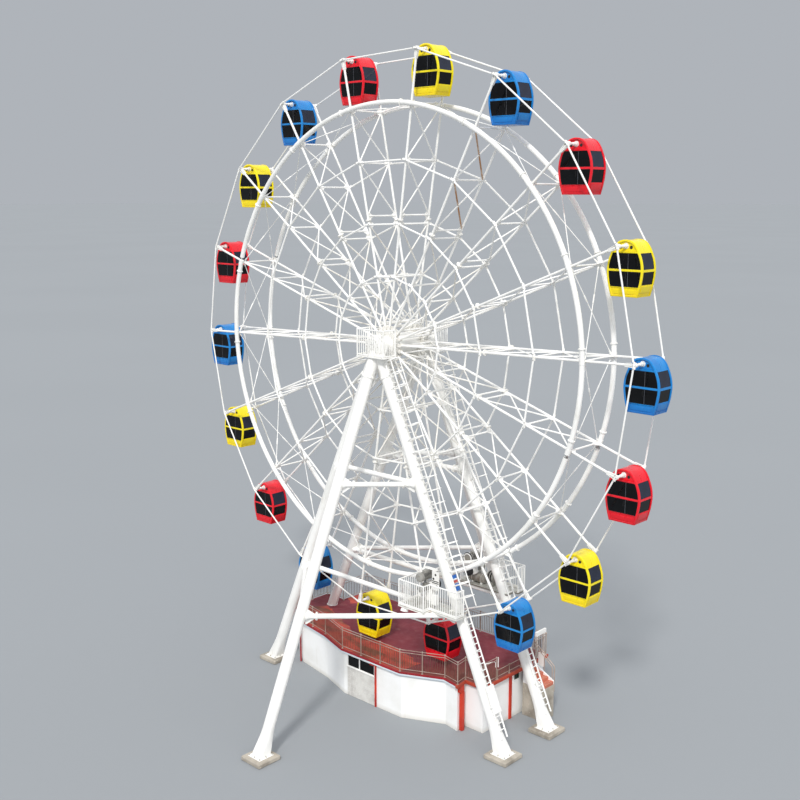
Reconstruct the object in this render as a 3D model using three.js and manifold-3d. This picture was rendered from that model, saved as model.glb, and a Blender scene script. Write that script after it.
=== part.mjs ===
// Ferris wheel with eighteen closed cabins that hang level from a braced steel wheel.
// Frame: millimetres, +Z up, wheel in the XZ plane, axle along Y.
// The origin is on the ground, straight below the middle of the axle.
import * as THREE from 'three';
import { mergeVertices } from 'three/addons/utils/BufferGeometryUtils.js';
import Module from 'manifold-3d';

const wasm = await Module();
wasm.setup();

// Driving dimensions
const PIVOT_RADIUS = 12800;
const HUB_HEIGHT = 17150;
const BAYS = 18;
const STEP = (2 * Math.PI) / BAYS;
const FIRST_ANGLE = THREE.MathUtils.degToRad(81.88);
const SEAT_GAP = 0.3;

// Radial stations of the wheel
const FLANGE_RADIUS_IN = 0.4244 * PIVOT_RADIUS;
const FLANGE_RADIUS_OUT = 0.4549 * PIVOT_RADIUS;
const MID_RADIUS = 0.6416 * PIVOT_RADIUS;
const RIM_RADIUS = 0.8254 * PIVOT_RADIUS;
const HUB_RADIUS = 640;
const HUB_CHORD_Y = 880;
const TIP_CHORD_Y = 987;

// Half widths and tube radii of the wheel
const CHORD_HALF = 60;
const STRUT_HALF = 45;
const BRACE_HALF = 36;
const RIM_TUBE = 120;
const RING_TUBE = 52;
const TIE_TUBE = 46;
const SHAFT_TUBE = 45;
const SHAFT_SIDES = 8;
const BOSS_RADIUS = 115;
const RING_GAP = 0.8;

// Cabin, measured from its pivot
const CABIN_HALF_DEPTH = 500;
const CABIN_SKIN = 50;
const CABIN_TOP = 240;
const CABIN_BOTTOM = -1900;
const SHAFT_HOLE_GAP = 0.4;

// Supports
const LEG_PLANE_Y = 1600;
const LEG_SLOPE = 0.441;
const STAY_SLOPE = 0.425;
const LEG_TUBE = 250;
const BEAM_TUBE = 115;
const BEAM_DROPS = [5900, 11350];
const PAD_HEIGHT = 200;
const PAD_HALF = 600;
const PIER_HALF = 480;
const FOOT_HEIGHT = 1250;
const FOOT_HALF = 310;
const AXLE_RADIUS = 260;
const AXLE_SIDES = 24;
const HEAD_RADIUS = 470;
const HEAD_INNER_Y = 1340;
const HEAD_OUTER_Y = 1860;

// Drive platforms beside the lower rim, and the tyres that turn the wheel
const FLOOR_THICKNESS = 80;
const DRIVE_X = 3200;
const TYRE_RADIUS = 240;
const TYRE_HALF_WIDTH = 80;
const TYRE_GAP = 5;

// Boarding deck and the room under it
const DECK_TOP = HUB_HEIGHT - 14820;
const DECK_THICKNESS = 160;
const WALL_THICKNESS = 200;
const WALL_SETBACK = 180;
const RAIL_HEIGHT = 1100;
const HUB_RAIL_HEIGHT = 1280;
const LOW_RAIL_HEIGHT = 480;
const RAIL_TUBE = 20;
const POST_TUBE = 30;

const WHITE = '#f1f0ec';
const STEEL_GREY = '#8f9294';
const CABIN_COLOURS = ['#f2dc1c', '#1f7fe0', '#f0212f'];

const group = new THREE.Group();

// Solid helpers
function toSolid(geometry) {
  const bare = geometry.clone();
  bare.deleteAttribute('normal');
  bare.deleteAttribute('uv');
  const merged = mergeVertices(bare, 1e-3);
  return new wasm.Manifold(new wasm.Mesh({
    numProp: 3,
    vertProperties: Float32Array.from(merged.attributes.position.array),
    triVerts: Uint32Array.from(merged.index.array),
  }));
}

function toGeometry(solid) {
  const mesh = solid.getMesh();
  const geometry = new THREE.BufferGeometry();
  geometry.setAttribute('position', new THREE.BufferAttribute(mesh.vertProperties, 3));
  geometry.setIndex(new THREE.BufferAttribute(mesh.triVerts, 1));
  return geometry;
}

function fuse(geometries) {
  return geometries.map(toSolid).reduce((whole, piece) => whole.add(piece));
}

function addNode(name, shape, colour, roughness = 0.45, metalness = 0.0, parent = group) {
  const geometry = shape.isBufferGeometry ? shape : toGeometry(shape);
  const material = new THREE.MeshStandardMaterial({ color: colour, roughness, metalness });
  const mesh = new THREE.Mesh(geometry, material);
  mesh.name = name;
  parent.add(mesh);
  return mesh;
}

function v(x, y, z) {
  return new THREE.Vector3(x, y, z);
}

function tube(start, end, radius, sides = 6) {
  const along = end.clone().sub(start);
  const geometry = new THREE.CylinderGeometry(radius, radius, along.length(), sides);
  const turn = new THREE.Quaternion().setFromUnitVectors(v(0, 1, 0), along.clone().normalize());
  geometry.applyQuaternion(turn);
  const middle = start.clone().add(end).multiplyScalar(0.5);
  return geometry.translate(middle.x, middle.y, middle.z);
}

function slab(low, high) {
  const size = high.clone().sub(low);
  const middle = low.clone().add(high).multiplyScalar(0.5);
  return new THREE.BoxGeometry(size.x, size.y, size.z).translate(middle.x, middle.y, middle.z);
}

function prism(points, low, high) {
  const shape = new THREE.Shape(points.map(([x, y]) => new THREE.Vector2(x, y)));
  const geometry = new THREE.ExtrudeGeometry(shape, { depth: high - low, bevelEnabled: false });
  return geometry.translate(0, 0, low);
}

// An outline in the XZ plane, extruded along Y between two distances
function profileAlongY(points, nearY, farY) {
  return prism(points, -farY, -nearY).rotateX(Math.PI / 2);
}

// The same distance is taken off every side of a closed outline that runs counter-clockwise
function insetOutline(points, distance) {
  return points.map((point, i) => {
    const before = points[(i + points.length - 1) % points.length];
    const after = points[(i + 1) % points.length];
    const first = v(point[0] - before[0], point[1] - before[1], 0).normalize();
    const second = v(after[0] - point[0], after[1] - point[1], 0).normalize();
    const scale = distance / (1 + first.dot(second));
    return [
      point[0] - (first.y + second.y) * scale,
      point[1] + (first.x + second.x) * scale,
    ];
  });
}

// Wheel
const wheel = new THREE.Group();
wheel.position.z = HUB_HEIGHT;
group.add(wheel);

const chordY = (r) => THREE.MathUtils.mapLinear(r, HUB_RADIUS, PIVOT_RADIUS, HUB_CHORD_Y, TIP_CHORD_Y);

// The four triangles that an X of braces leaves open between two struts of a spoke
function bayHoles(inner, outer) {
  const near = inner + STRUT_HALF;
  const far = outer - STRUT_HALF;
  const low = chordY(near) - CHORD_HALF;
  const high = chordY(far) - CHORD_HALF;
  const slope = Math.atan2(low + high, far - near);
  const along = BRACE_HALF / Math.sin(slope);
  const across = BRACE_HALF / Math.cos(slope);
  const middle = near + ((far - near) * low) / (low + high);
  return [
    [[near, across - low], [middle - along, 0], [near, low - across]],
    [[far, high - across], [middle + along, 0], [far, across - high]],
    [[near + along, low], [middle, across], [far - along, high]],
    [[far - along, -high], [middle, -across], [near + along, -low]],
  ];
}

// A spoke is a flat ladder of two chords, struts and crossed braces that ends in a fork
function spokeFrame() {
  const start = HUB_RADIUS + SEAT_GAP;
  const tip = PIVOT_RADIUS + BOSS_RADIUS;
  const fork = RIM_RADIUS + STRUT_HALF;
  const outerEdge = (r) => chordY(r) + CHORD_HALF;
  const innerEdge = (r) => chordY(r) - CHORD_HALF;
  const half = [[start, outerEdge(start)], [tip, outerEdge(tip)], [tip, innerEdge(tip)], [fork, innerEdge(fork)]];
  const outline = half.concat(half.map(([r, y]) => [r, -y]).reverse());
  const flangeIn = FLANGE_RADIUS_IN + STRUT_HALF;
  const flangeOut = FLANGE_RADIUS_OUT - STRUT_HALF;
  const holes = [
    ...bayHoles(start + STRUT_HALF, FLANGE_RADIUS_IN),
    ...bayHoles(FLANGE_RADIUS_OUT, MID_RADIUS),
    ...bayHoles(MID_RADIUS, RIM_RADIUS),
    [
      [flangeIn, -innerEdge(flangeIn)], [flangeOut, -innerEdge(flangeOut)],
      [flangeOut, innerEdge(flangeOut)], [flangeIn, innerEdge(flangeIn)],
    ],
  ];
  let ladder = toSolid(prism(outline, -CHORD_HALF, CHORD_HALF));
  for (const hole of holes) {
    ladder = ladder.subtract(toSolid(prism(hole, -2 * CHORD_HALF, 2 * CHORD_HALF)));
  }
  return ladder;
}

// Every cabin's shaft has an edge straight up, so that it fits the cabin's level hole
const spoke = spokeFrame();
for (let i = 0; i < BAYS; i += 1) {
  const angle = FIRST_ANGLE - i * STEP;
  const shaft = tube(v(0, -TIP_CHORD_Y, 0), v(0, TIP_CHORD_Y, 0), SHAFT_TUBE, SHAFT_SIDES);
  shaft.rotateY(angle + Math.PI / SHAFT_SIDES).translate(PIVOT_RADIUS, 0, 0);
  const name = `spoke_frame_${String(i + 1).padStart(2, '0')}`;
  addNode(name, spoke.add(toSolid(shaft)), WHITE, 0.45, 0.1, wheel).rotation.y = -angle;
}

// Rings lie against the outer sides of the spokes' chords
function wheelRing(radius, tubeRadius, sides, segments, side) {
  const flat = sides % 4 === 0 ? tubeRadius : tubeRadius * Math.cos(Math.PI / sides);
  const y = side * (chordY(radius) + CHORD_HALF + flat + RING_GAP);
  const ring = new THREE.TorusGeometry(radius, tubeRadius, sides, segments);
  return ring.rotateX(Math.PI / 2).rotateY(-FIRST_ANGLE).translate(0, y, 0);
}

const RINGS = [
  ['rim', RIM_RADIUS, RIM_TUBE, 6, 2 * BAYS],
  ['mid_ring', MID_RADIUS, RING_TUBE, 6, BAYS],
  ['inner_ring', FLANGE_RADIUS_IN, RING_TUBE, 6, BAYS],
  ['outer_tie', PIVOT_RADIUS, TIE_TUBE, 6, BAYS],
];
for (const [face, side] of [['front', -1], ['back', 1]]) {
  for (const [ring, radius, tubeRadius, sides, segments] of RINGS) {
    const geometry = toGeometry(toSolid(wheelRing(radius, tubeRadius, sides, segments, side)));
    addNode(`${face}_${ring}`, geometry, WHITE, 0.45, 0.1, wheel);
  }
}

function hub() {
  const discHalf = 60;
  const discRadius = HUB_RADIUS / Math.cos(Math.PI / BAYS);
  const axle = tube(v(0, -HEAD_OUTER_Y - 60, 0), v(0, HEAD_OUTER_Y + 60, 0), AXLE_RADIUS, AXLE_SIDES);
  const pieces = [axle.rotateY(Math.PI / AXLE_SIDES)];
  pieces.push(tube(v(0, -HUB_CHORD_Y, 0), v(0, HUB_CHORD_Y, 0), 450, 18));
  for (const side of [-1, 1]) {
    const y = side * HUB_CHORD_Y;
    const disc = tube(v(0, y - discHalf, 0), v(0, y + discHalf, 0), discRadius, BAYS);
    pieces.push(disc.rotateY(Math.PI / 2 - FIRST_ANGLE + STEP / 2));
  }
  return fuse(pieces);
}
addNode('hub_and_axle', hub(), WHITE, 0.45, 0.1, wheel);

// Cabins
const CABIN_PROFILE = [
  [520, CABIN_BOTTOM],
  [655, -1580],
  [775, -950],
  [600, -300],
  [480, 0],
  [300, 170],
  [0, CABIN_TOP],
];

function mirroredProfile(half) {
  const left = half.slice(0, -1).reverse().map(([x, z]) => [-x, z]);
  return half.concat(left);
}

// Half width of the cabin at a height, taken from its profile
function cabinHalfWidth(z) {
  const index = CABIN_PROFILE.findIndex(([, height]) => height > z);
  const [x0, z0] = CABIN_PROFILE[index - 1];
  const [x1, z1] = CABIN_PROFILE[index];
  return THREE.MathUtils.mapLinear(z, z0, z1, x0, x1);
}

const WINDOW_FRAME = 90;
const WINDOW_ROWS = [[-1550, -990], [-900, -330]];

function cabin() {
  const outer = mirroredProfile(CABIN_PROFILE);
  const inner = insetOutline(outer, CABIN_SKIN);
  const insideY = CABIN_HALF_DEPTH - CABIN_SKIN;
  let shell = toSolid(profileAlongY(outer, -CABIN_HALF_DEPTH, CABIN_HALF_DEPTH));
  shell = shell.subtract(toSolid(profileAlongY(inner, -insideY, insideY)));
  for (const [low, high] of WINDOW_ROWS) {
    const wideLow = cabinHalfWidth(low) - WINDOW_FRAME;
    const wideHigh = cabinHalfWidth(high) - WINDOW_FRAME;
    const pane = [[-wideLow, low], [wideLow, low], [wideHigh, high], [-wideHigh, high]];
    shell = shell.subtract(toSolid(profileAlongY(pane, -600, 600)));
    const sideHalf = CABIN_HALF_DEPTH - WINDOW_FRAME;
    shell = shell.subtract(toSolid(slab(v(-900, -sideHalf, low), v(900, sideHalf, high))));
  }
  const hole = (SHAFT_TUBE + SHAFT_HOLE_GAP) / Math.cos(Math.PI / SHAFT_SIDES);
  return shell.subtract(toSolid(tube(v(0, -600, 0), v(0, 600, 0), hole, SHAFT_SIDES)));
}

const cabinShape = toGeometry(cabin());
for (let i = 0; i < BAYS; i += 1) {
  const angle = FIRST_ANGLE - i * STEP;
  const colour = CABIN_COLOURS[i % CABIN_COLOURS.length];
  const name = `cabin_${String(i + 1).padStart(2, '0')}`;
  const mesh = addNode(name, cabinShape, colour, 0.3, 0.0);
  mesh.position.set(PIVOT_RADIUS * Math.cos(angle), 0, HUB_HEIGHT + PIVOT_RADIUS * Math.sin(angle));
}

// Supports: on each side two legs in a plane beside the wheel and one stay that leans outwards
const padTop = PAD_HEIGHT - HUB_HEIGHT;
const lean = (drop, side, hand) => v(hand * LEG_SLOPE * drop, side * LEG_PLANE_Y, -drop);
const stay = (drop, side) => v(0, side * (LEG_PLANE_Y + STAY_SLOPE * drop), -drop);

function pad(centre, half, top) {
  return slab(
    v(centre.x - half, centre.y - half, -HUB_HEIGHT),
    v(centre.x + half, centre.y + half, top),
  );
}

// A leg's tube flares into a square foot that stands on a concrete pad
function footing(axisPoint) {
  const foot = axisPoint(-padTop);
  const neck = axisPoint(-padTop - FOOT_HEIGHT);
  const flare = new THREE.CylinderGeometry(LEG_TUBE, FOOT_HALF * Math.SQRT2, FOOT_HEIGHT, 4);
  flare.rotateY(Math.PI / 4).rotateX(Math.PI / 2);
  flare.translate((foot.x + neck.x) / 2, (foot.y + neck.y) / 2, (foot.z + neck.z) / 2);
  return [flare, pad(foot, PAD_HALF, padTop)];
}

function beams(from, to, growth = 0) {
  return fuse(BEAM_DROPS.map((drop) => tube(from(drop), to(drop), BEAM_TUBE + growth, 6)));
}

function legTube(axisPoint, fromDrop, toDrop, growth = 0) {
  return tube(axisPoint(fromDrop), axisPoint(toDrop), LEG_TUBE + growth, 10);
}

const keepOut = (axisPoint, fromDrop, toDrop) => toSolid(legTube(axisPoint, fromDrop, toDrop, 2 * SEAT_GAP));

const supports = new THREE.Group();
supports.position.z = HUB_HEIGHT;
group.add(supports);

const APEX_DROP = 3000;
const LOW_DROP = 14000;

function railing(path, floor, railHeight = RAIL_HEIGHT) {
  const top = floor + railHeight - POST_TUBE;
  const pieces = [];
  for (let i = 0; i < path.length; i += 1) {
    const [x, y] = path[i];
    pieces.push(tube(v(x, y, floor), v(x, y, top + POST_TUBE), POST_TUBE, 6));
    if (i > 0) {
      const [px, py] = path[i - 1];
      for (const height of [top, floor + railHeight / 2]) {
        pieces.push(tube(v(px, py, height), v(x, y, height), RAIL_TUBE, 4));
      }
    }
  }
  return pieces;
}

// Small railed floor around the end of the axle
function hubPlatform(side) {
  const floor = -430;
  const edge = 40;
  const [left, right] = [-740, 950];
  const near = side * HEAD_INNER_Y;
  const far = side * 2180;
  const plate = slab(
    v(left, Math.min(near, far), floor - FLOOR_THICKNESS),
    v(right, Math.max(near, far), floor),
  );
  const path = [
    [left + edge, near + side * edge],
    [left + edge, far - side * edge],
    [right - edge, far - side * edge],
    [right - edge, near + side * edge],
  ];
  return fuse([plate, ...railing(path, floor - edge, HUB_RAIL_HEIGHT)]);
}

for (const [face, side] of [['front', -1], ['back', 1]]) {
  const right = (drop) => lean(drop, side, 1);
  const left = (drop) => lean(drop, side, -1);
  const out = (drop) => stay(drop, side);
  const legEnd = -padTop - FOOT_HEIGHT * 0.5;
  const deckDrop = HUB_HEIGHT - DECK_TOP;

  const head = tube(v(0, side * HEAD_INNER_Y, 0), v(0, side * HEAD_OUTER_Y, 0), HEAD_RADIUS, 18);
  const boreRadius = (AXLE_RADIUS + SHAFT_HOLE_GAP) / Math.cos(Math.PI / AXLE_SIDES);
  const bore = toSolid(tube(v(0, side * 1000, 0), v(0, side * 2400, 0), boreRadius, AXLE_SIDES));
  const headInner = v(0, side * (HEAD_INNER_Y - 1), 0);
  const headOuter = v(0, side * (HEAD_OUTER_Y + 1), 0);
  const headRoom = toSolid(tube(headInner, headOuter, HEAD_RADIUS + 2 * SEAT_GAP, 18));
  const platform = hubPlatform(side)
    .subtract(keepOut(left, 0, APEX_DROP))
    .subtract(keepOut(right, 0, APEX_DROP));

  const leftTube = side < 0
    ? [legTube(left, 200, legEnd), ...footing(left)]
    : [legTube(left, 200, deckDrop), pad(left(deckDrop), PIER_HALF, -deckDrop)];
  const leftBeams = beams(left, right)
    .subtract(keepOut(right, APEX_DROP, LOW_DROP))
    .subtract(beams(right, out, 2 * SEAT_GAP))
    .subtract(beams(out, left, 2 * SEAT_GAP));
  const leftLeg = fuse(leftTube)
    .subtract(keepOut(right, 0, APEX_DROP))
    .subtract(keepOut(out, 0, APEX_DROP))
    .subtract(headRoom)
    .add(leftBeams);
  addNode(`${face}_left_leg`, leftLeg, WHITE, 0.45, 0.1, supports);

  const rightBeams = beams(right, out)
    .subtract(keepOut(out, APEX_DROP, LOW_DROP))
    .subtract(beams(out, left, 2 * SEAT_GAP));
  const rightLeg = fuse([legTube(right, 200, legEnd), ...footing(right)])
    .subtract(keepOut(out, 0, APEX_DROP))
    .subtract(headRoom)
    .add(rightBeams);
  addNode(`${face}_right_leg`, rightLeg, WHITE, 0.45, 0.1, supports);

  const stayLeg = fuse([legTube(out, 200, legEnd), ...footing(out), head])
    .add(beams(out, left).subtract(keepOut(left, APEX_DROP, LOW_DROP)))
    .add(platform)
    .subtract(bore);
  addNode(`${face}_stay_leg`, stayLeg, WHITE, 0.45, 0.1, supports);
}

// Drive platforms: a railed floor on the lower beams with a geared motor and its tyre
const floorLow = -BEAM_DROPS[1] + BEAM_TUBE + 2 * SEAT_GAP;
const floorHigh = floorLow + FLOOR_THICKNESS;
const rimPlaneY = chordY(RIM_RADIUS) + CHORD_HALF + RIM_TUBE * Math.cos(Math.PI / 6) + RING_GAP;
const tyreOrbit = RIM_RADIUS + RIM_TUBE + TYRE_GAP + TYRE_RADIUS;
const tyreZ = -Math.sqrt(tyreOrbit ** 2 - DRIVE_X ** 2);

for (const [face, side] of [['front', -1], ['back', 1]]) {
  const corners = [[2450, 1400], [2450, 2850], [3970, 2850], [3970, 2450], [5500, 2450], [5500, 1400]];
  const outline = corners.map(([x, y]) => [x, side * y]);
  const edge = 40;
  const path = [[2490, 1440], [2490, 2810], [3930, 2810], [3930, 2410], [5460, 2410], [5460, 1900]];
  const rails = railing(path.map(([x, y]) => [x, side * y]), floorHigh - edge);
  const motorY = (y) => v(DRIVE_X, side * y, tyreZ);
  const gearbox = slab(
    v(DRIVE_X - 170, Math.min(side * 1300, side * 1660), floorHigh - edge),
    v(DRIVE_X + 170, Math.max(side * 1300, side * 1660), tyreZ + 190),
  );
  const motor = tube(motorY(1640), motorY(2250), 150, 12);
  const floor = prism(side < 0 ? outline : outline.slice().reverse(), floorLow, floorHigh);
  const right = (drop) => lean(drop, side, 1);
  const platform = fuse([floor, ...rails, gearbox, motor]).subtract(keepOut(right, 8000, LOW_DROP));
  addNode(`${face}_drive_platform`, platform, STEEL_GREY, 0.5, 0.2, supports);

  const tyre = tube(motorY(rimPlaneY - TYRE_HALF_WIDTH), motorY(rimPlaneY + TYRE_HALF_WIDTH), TYRE_RADIUS, 16);
  const stub = tube(motorY(rimPlaneY), motorY(1300 - SEAT_GAP), 45, 8);
  addNode(`${face}_drive_tyre`, fuse([tyre, stub]), '#1c1c1e', 0.8, 0.0, supports);
}

// Boarding deck over a walled room, with its railings and a short flight of steps
const DECK_OUTLINE = [
  [-7850, 100], [-6200, -1060], [-3860, -1500], [-2000, -2110], [1800, -2080], [3720, -1170],
  [4720, -1360], [4620, -680], [5650, -680], [5650, 4200], [-6500, 4200], [-6600, 2500],
  [-7850, 2500],
];
const deckBottom = DECK_TOP - DECK_THICKNESS;
const backLeftPier = lean(HUB_HEIGHT - DECK_TOP, 1, -1);

function pierRoom(half) {
  return toSolid(slab(
    v(backLeftPier.x - half, backLeftPier.y - half, -100),
    v(backLeftPier.x + half, backLeftPier.y + half, DECK_TOP + 100),
  ));
}

const deck = toSolid(prism(DECK_OUTLINE, deckBottom, DECK_TOP)).subtract(pierRoom(PIER_HALF + SEAT_GAP));
addNode('boarding_deck', deck, '#a8504a', 0.8);

const wallOuter = insetOutline(DECK_OUTLINE, WALL_SETBACK);
const wallInner = insetOutline(wallOuter, WALL_THICKNESS);
const FRONT_WINDOW = slab(v(-1750, -2300, 1500), v(100, -1500, deckBottom - 80));
const SIDE_WINDOW = slab(v(5000, 1740, 1750), v(6000, 2190, deckBottom - 80));
const walls = toSolid(prism(wallOuter, 0, deckBottom - SEAT_GAP))
  .subtract(toSolid(prism(wallInner, -100, deckBottom + 100)))
  .subtract(toSolid(FRONT_WINDOW))
  .subtract(toSolid(SIDE_WINDOW));
addNode('room_walls', walls, WHITE, 0.8);

const RAIL_INSET = 90;
const railCorners = insetOutline(DECK_OUTLINE, RAIL_INSET);
const railStart = railCorners.findIndex(([x]) => x > 5000);
const frontRail = railCorners.slice(0, railStart + 1).reverse();
const backRail = railCorners.slice(railStart + 1).reverse();
const railFloor = DECK_TOP + SEAT_GAP;
const RAIL_BROWN = '#8d7f78';
const deckRails = railing([[5560, 320], ...frontRail, ...backRail, [5560, 3140]], railFloor);
addNode('deck_railing', fuse(deckRails), RAIL_BROWN, 0.5, 0.4);
const sideRails = railing([[5560, 400], [5560, 2150]], railFloor, LOW_RAIL_HEIGHT);
addNode('side_railing', fuse(sideRails), RAIL_BROWN, 0.5, 0.4);

const RISER = 150;
const TREAD = 290;
const steps = [1, 2, 3, 4].map((count) => slab(
  v(5650 + SEAT_GAP, 2200, 0),
  v(5650 + count * TREAD, 3050, DECK_TOP - count * RISER),
));
addNode('steps', fuse(steps), '#b06a4a', 0.8);

export default group;
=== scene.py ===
import math

import bmesh
import bpy
from mathutils import Matrix, Vector, noise


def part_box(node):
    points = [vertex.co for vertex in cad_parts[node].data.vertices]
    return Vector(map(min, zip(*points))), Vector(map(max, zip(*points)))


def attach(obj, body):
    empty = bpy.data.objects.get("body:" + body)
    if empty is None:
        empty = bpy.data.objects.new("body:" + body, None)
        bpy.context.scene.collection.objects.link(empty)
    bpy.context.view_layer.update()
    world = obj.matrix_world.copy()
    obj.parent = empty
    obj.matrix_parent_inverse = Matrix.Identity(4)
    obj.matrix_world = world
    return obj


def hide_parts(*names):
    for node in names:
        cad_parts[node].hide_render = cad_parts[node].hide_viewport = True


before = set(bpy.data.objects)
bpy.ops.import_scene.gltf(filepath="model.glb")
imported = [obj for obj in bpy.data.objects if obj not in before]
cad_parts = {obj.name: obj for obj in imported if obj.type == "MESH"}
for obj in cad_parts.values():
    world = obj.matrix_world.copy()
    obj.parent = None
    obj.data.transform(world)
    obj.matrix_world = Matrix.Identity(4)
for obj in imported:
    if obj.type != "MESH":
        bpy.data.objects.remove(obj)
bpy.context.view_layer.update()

# Concrete pads under the legs' feet, and the pier that carries the back left leg at the deck's height.
# They are cast in place from grey concrete, and their edges are struck off.
PAD_TOP = 0.2
PAD_HALF = 0.6
PAD_CHAMFER = 0.03
PIER_HALF = 0.48
PIER_GAP = 0.012
PIER_LEG = ("back", "left")
DECK_TOP = 2.33
LEG_PLANE = 1.6
LEG_SLOPE = 0.441
STAY_SLOPE = 0.425
SIDES = (("front", -1), ("back", 1))
HANDS = (("left", -1), ("right", 1), ("stay", 0))
SMOOTH_LIMIT = math.radians(40)
CORNER_SHARE = 0.999

hub_low, hub_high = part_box("hub_and_axle")
hub = (hub_low + hub_high) / 2


def leg_point(drop, side, hand):
    """A point on a leg's axis, so far below the hub. Hand 0 is the stay that leans outwards."""
    out = LEG_PLANE + (STAY_SLOPE * drop if hand == 0 else 0.0)
    return hub + Vector((hand * LEG_SLOPE * drop, side * out, -drop))


def inset(outline, distance):
    """A closed outline that runs counter-clockwise, drawn in by the same distance all round."""
    drawn = []
    for i, point in enumerate(outline):
        before = Vector(outline[i - 1])
        here = Vector(point)
        after = Vector(outline[(i + 1) % len(outline)])
        first = (here - before).normalized()
        second = (after - here).normalized()
        scale = distance / (1 + first.dot(second))
        turn = first + second
        drawn.append((here.x - turn.y * scale, here.y + turn.x * scale))
    return drawn


class Work:
    """The points and faces of one piece, gathered part by part."""

    def __init__(self):
        self.points = []
        self.faces = []
        self.finish = []
        self.at = Matrix.Identity(4)

    def add(self, points, faces, finish=0):
        first = len(self.points)
        self.points.extend(tuple(self.at @ Vector(p)) for p in points)
        self.faces.extend([first + i for i in face] for face in faces)
        self.finish.extend([finish] * len(faces))

    def loft(self, rings, finish=0, capped=True, joined=False):
        """Skins a row of rings that have equally many points."""
        count = len(rings[0])
        faces = []
        for i in range(len(rings) if joined else len(rings) - 1):
            near = i * count
            far = (i + 1) % len(rings) * count
            for j in range(count):
                k = (j + 1) % count
                faces.append([near + j, near + k, far + k, far + j])
        if capped and not joined:
            last = (len(rings) - 1) * count
            faces.append(list(range(count - 1, -1, -1)))
            faces.append(list(range(last, last + count)))
        self.add([p for ring in rings for p in ring], faces, finish)

    def slab(self, outline, low, high, chamfer=0.0, finish=0):
        """A flat plate with the given outline, its upper and lower edges struck off."""
        if not chamfer:
            rings = [[(x, y, z) for x, y in outline] for z in (low, high)]
        else:
            drawn = inset(outline, chamfer)
            rings = [
                [(x, y, low) for x, y in drawn],
                [(x, y, low + chamfer) for x, y in outline],
                [(x, y, high - chamfer) for x, y in outline],
                [(x, y, high) for x, y in drawn],
            ]
        self.loft(rings, finish)

    def block(self, low, high, chamfer=0.0, finish=0):
        """A block between two corners, with all its edges struck off."""
        x0, y0, z0 = low
        x1, y1, z1 = high
        c = chamfer
        if c:
            outline = [(x0 + c, y0), (x1 - c, y0), (x1, y0 + c), (x1, y1 - c)]
            outline += [(x1 - c, y1), (x0 + c, y1), (x0, y1 - c), (x0, y0 + c)]
        else:
            outline = [(x0, y0), (x1, y0), (x1, y1), (x0, y1)]
        self.slab(outline, z0, z1, c * CORNER_SHARE, finish)

    def mesh(self, name, finishes):
        mesh = bpy.data.meshes.new(name)
        mesh.from_pydata(self.points, [], self.faces)
        mesh.polygons.foreach_set("material_index", self.finish)
        mesh.polygons.foreach_set("use_smooth", [True] * len(self.faces))
        for finish in finishes:
            mesh.materials.append(finish)
        shell = bmesh.new()
        shell.from_mesh(mesh)
        bmesh.ops.recalc_face_normals(shell, faces=shell.faces)
        shell.to_mesh(mesh)
        shell.free()
        mesh.set_sharp_from_angle(angle=SMOOTH_LIMIT)
        return mesh


def place(mesh, name, body, nodes=(), at=None):
    """Puts a mesh in the frame as a piece that moves with a body."""
    piece = bpy.data.objects.new(name, mesh)
    bpy.context.scene.collection.objects.link(piece)
    if at is not None:
        piece.matrix_world = at
    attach(piece, body)
    if nodes:
        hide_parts(*nodes)
    return piece


def srgb(red, green, blue):
    """A colour as read from a screen, as the light that it reflects."""
    values = [c / 255 for c in (red, green, blue)]
    return tuple(c / 12.92 if c <= 0.04045 else ((c + 0.055) / 1.055) ** 2.4 for c in values)


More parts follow.
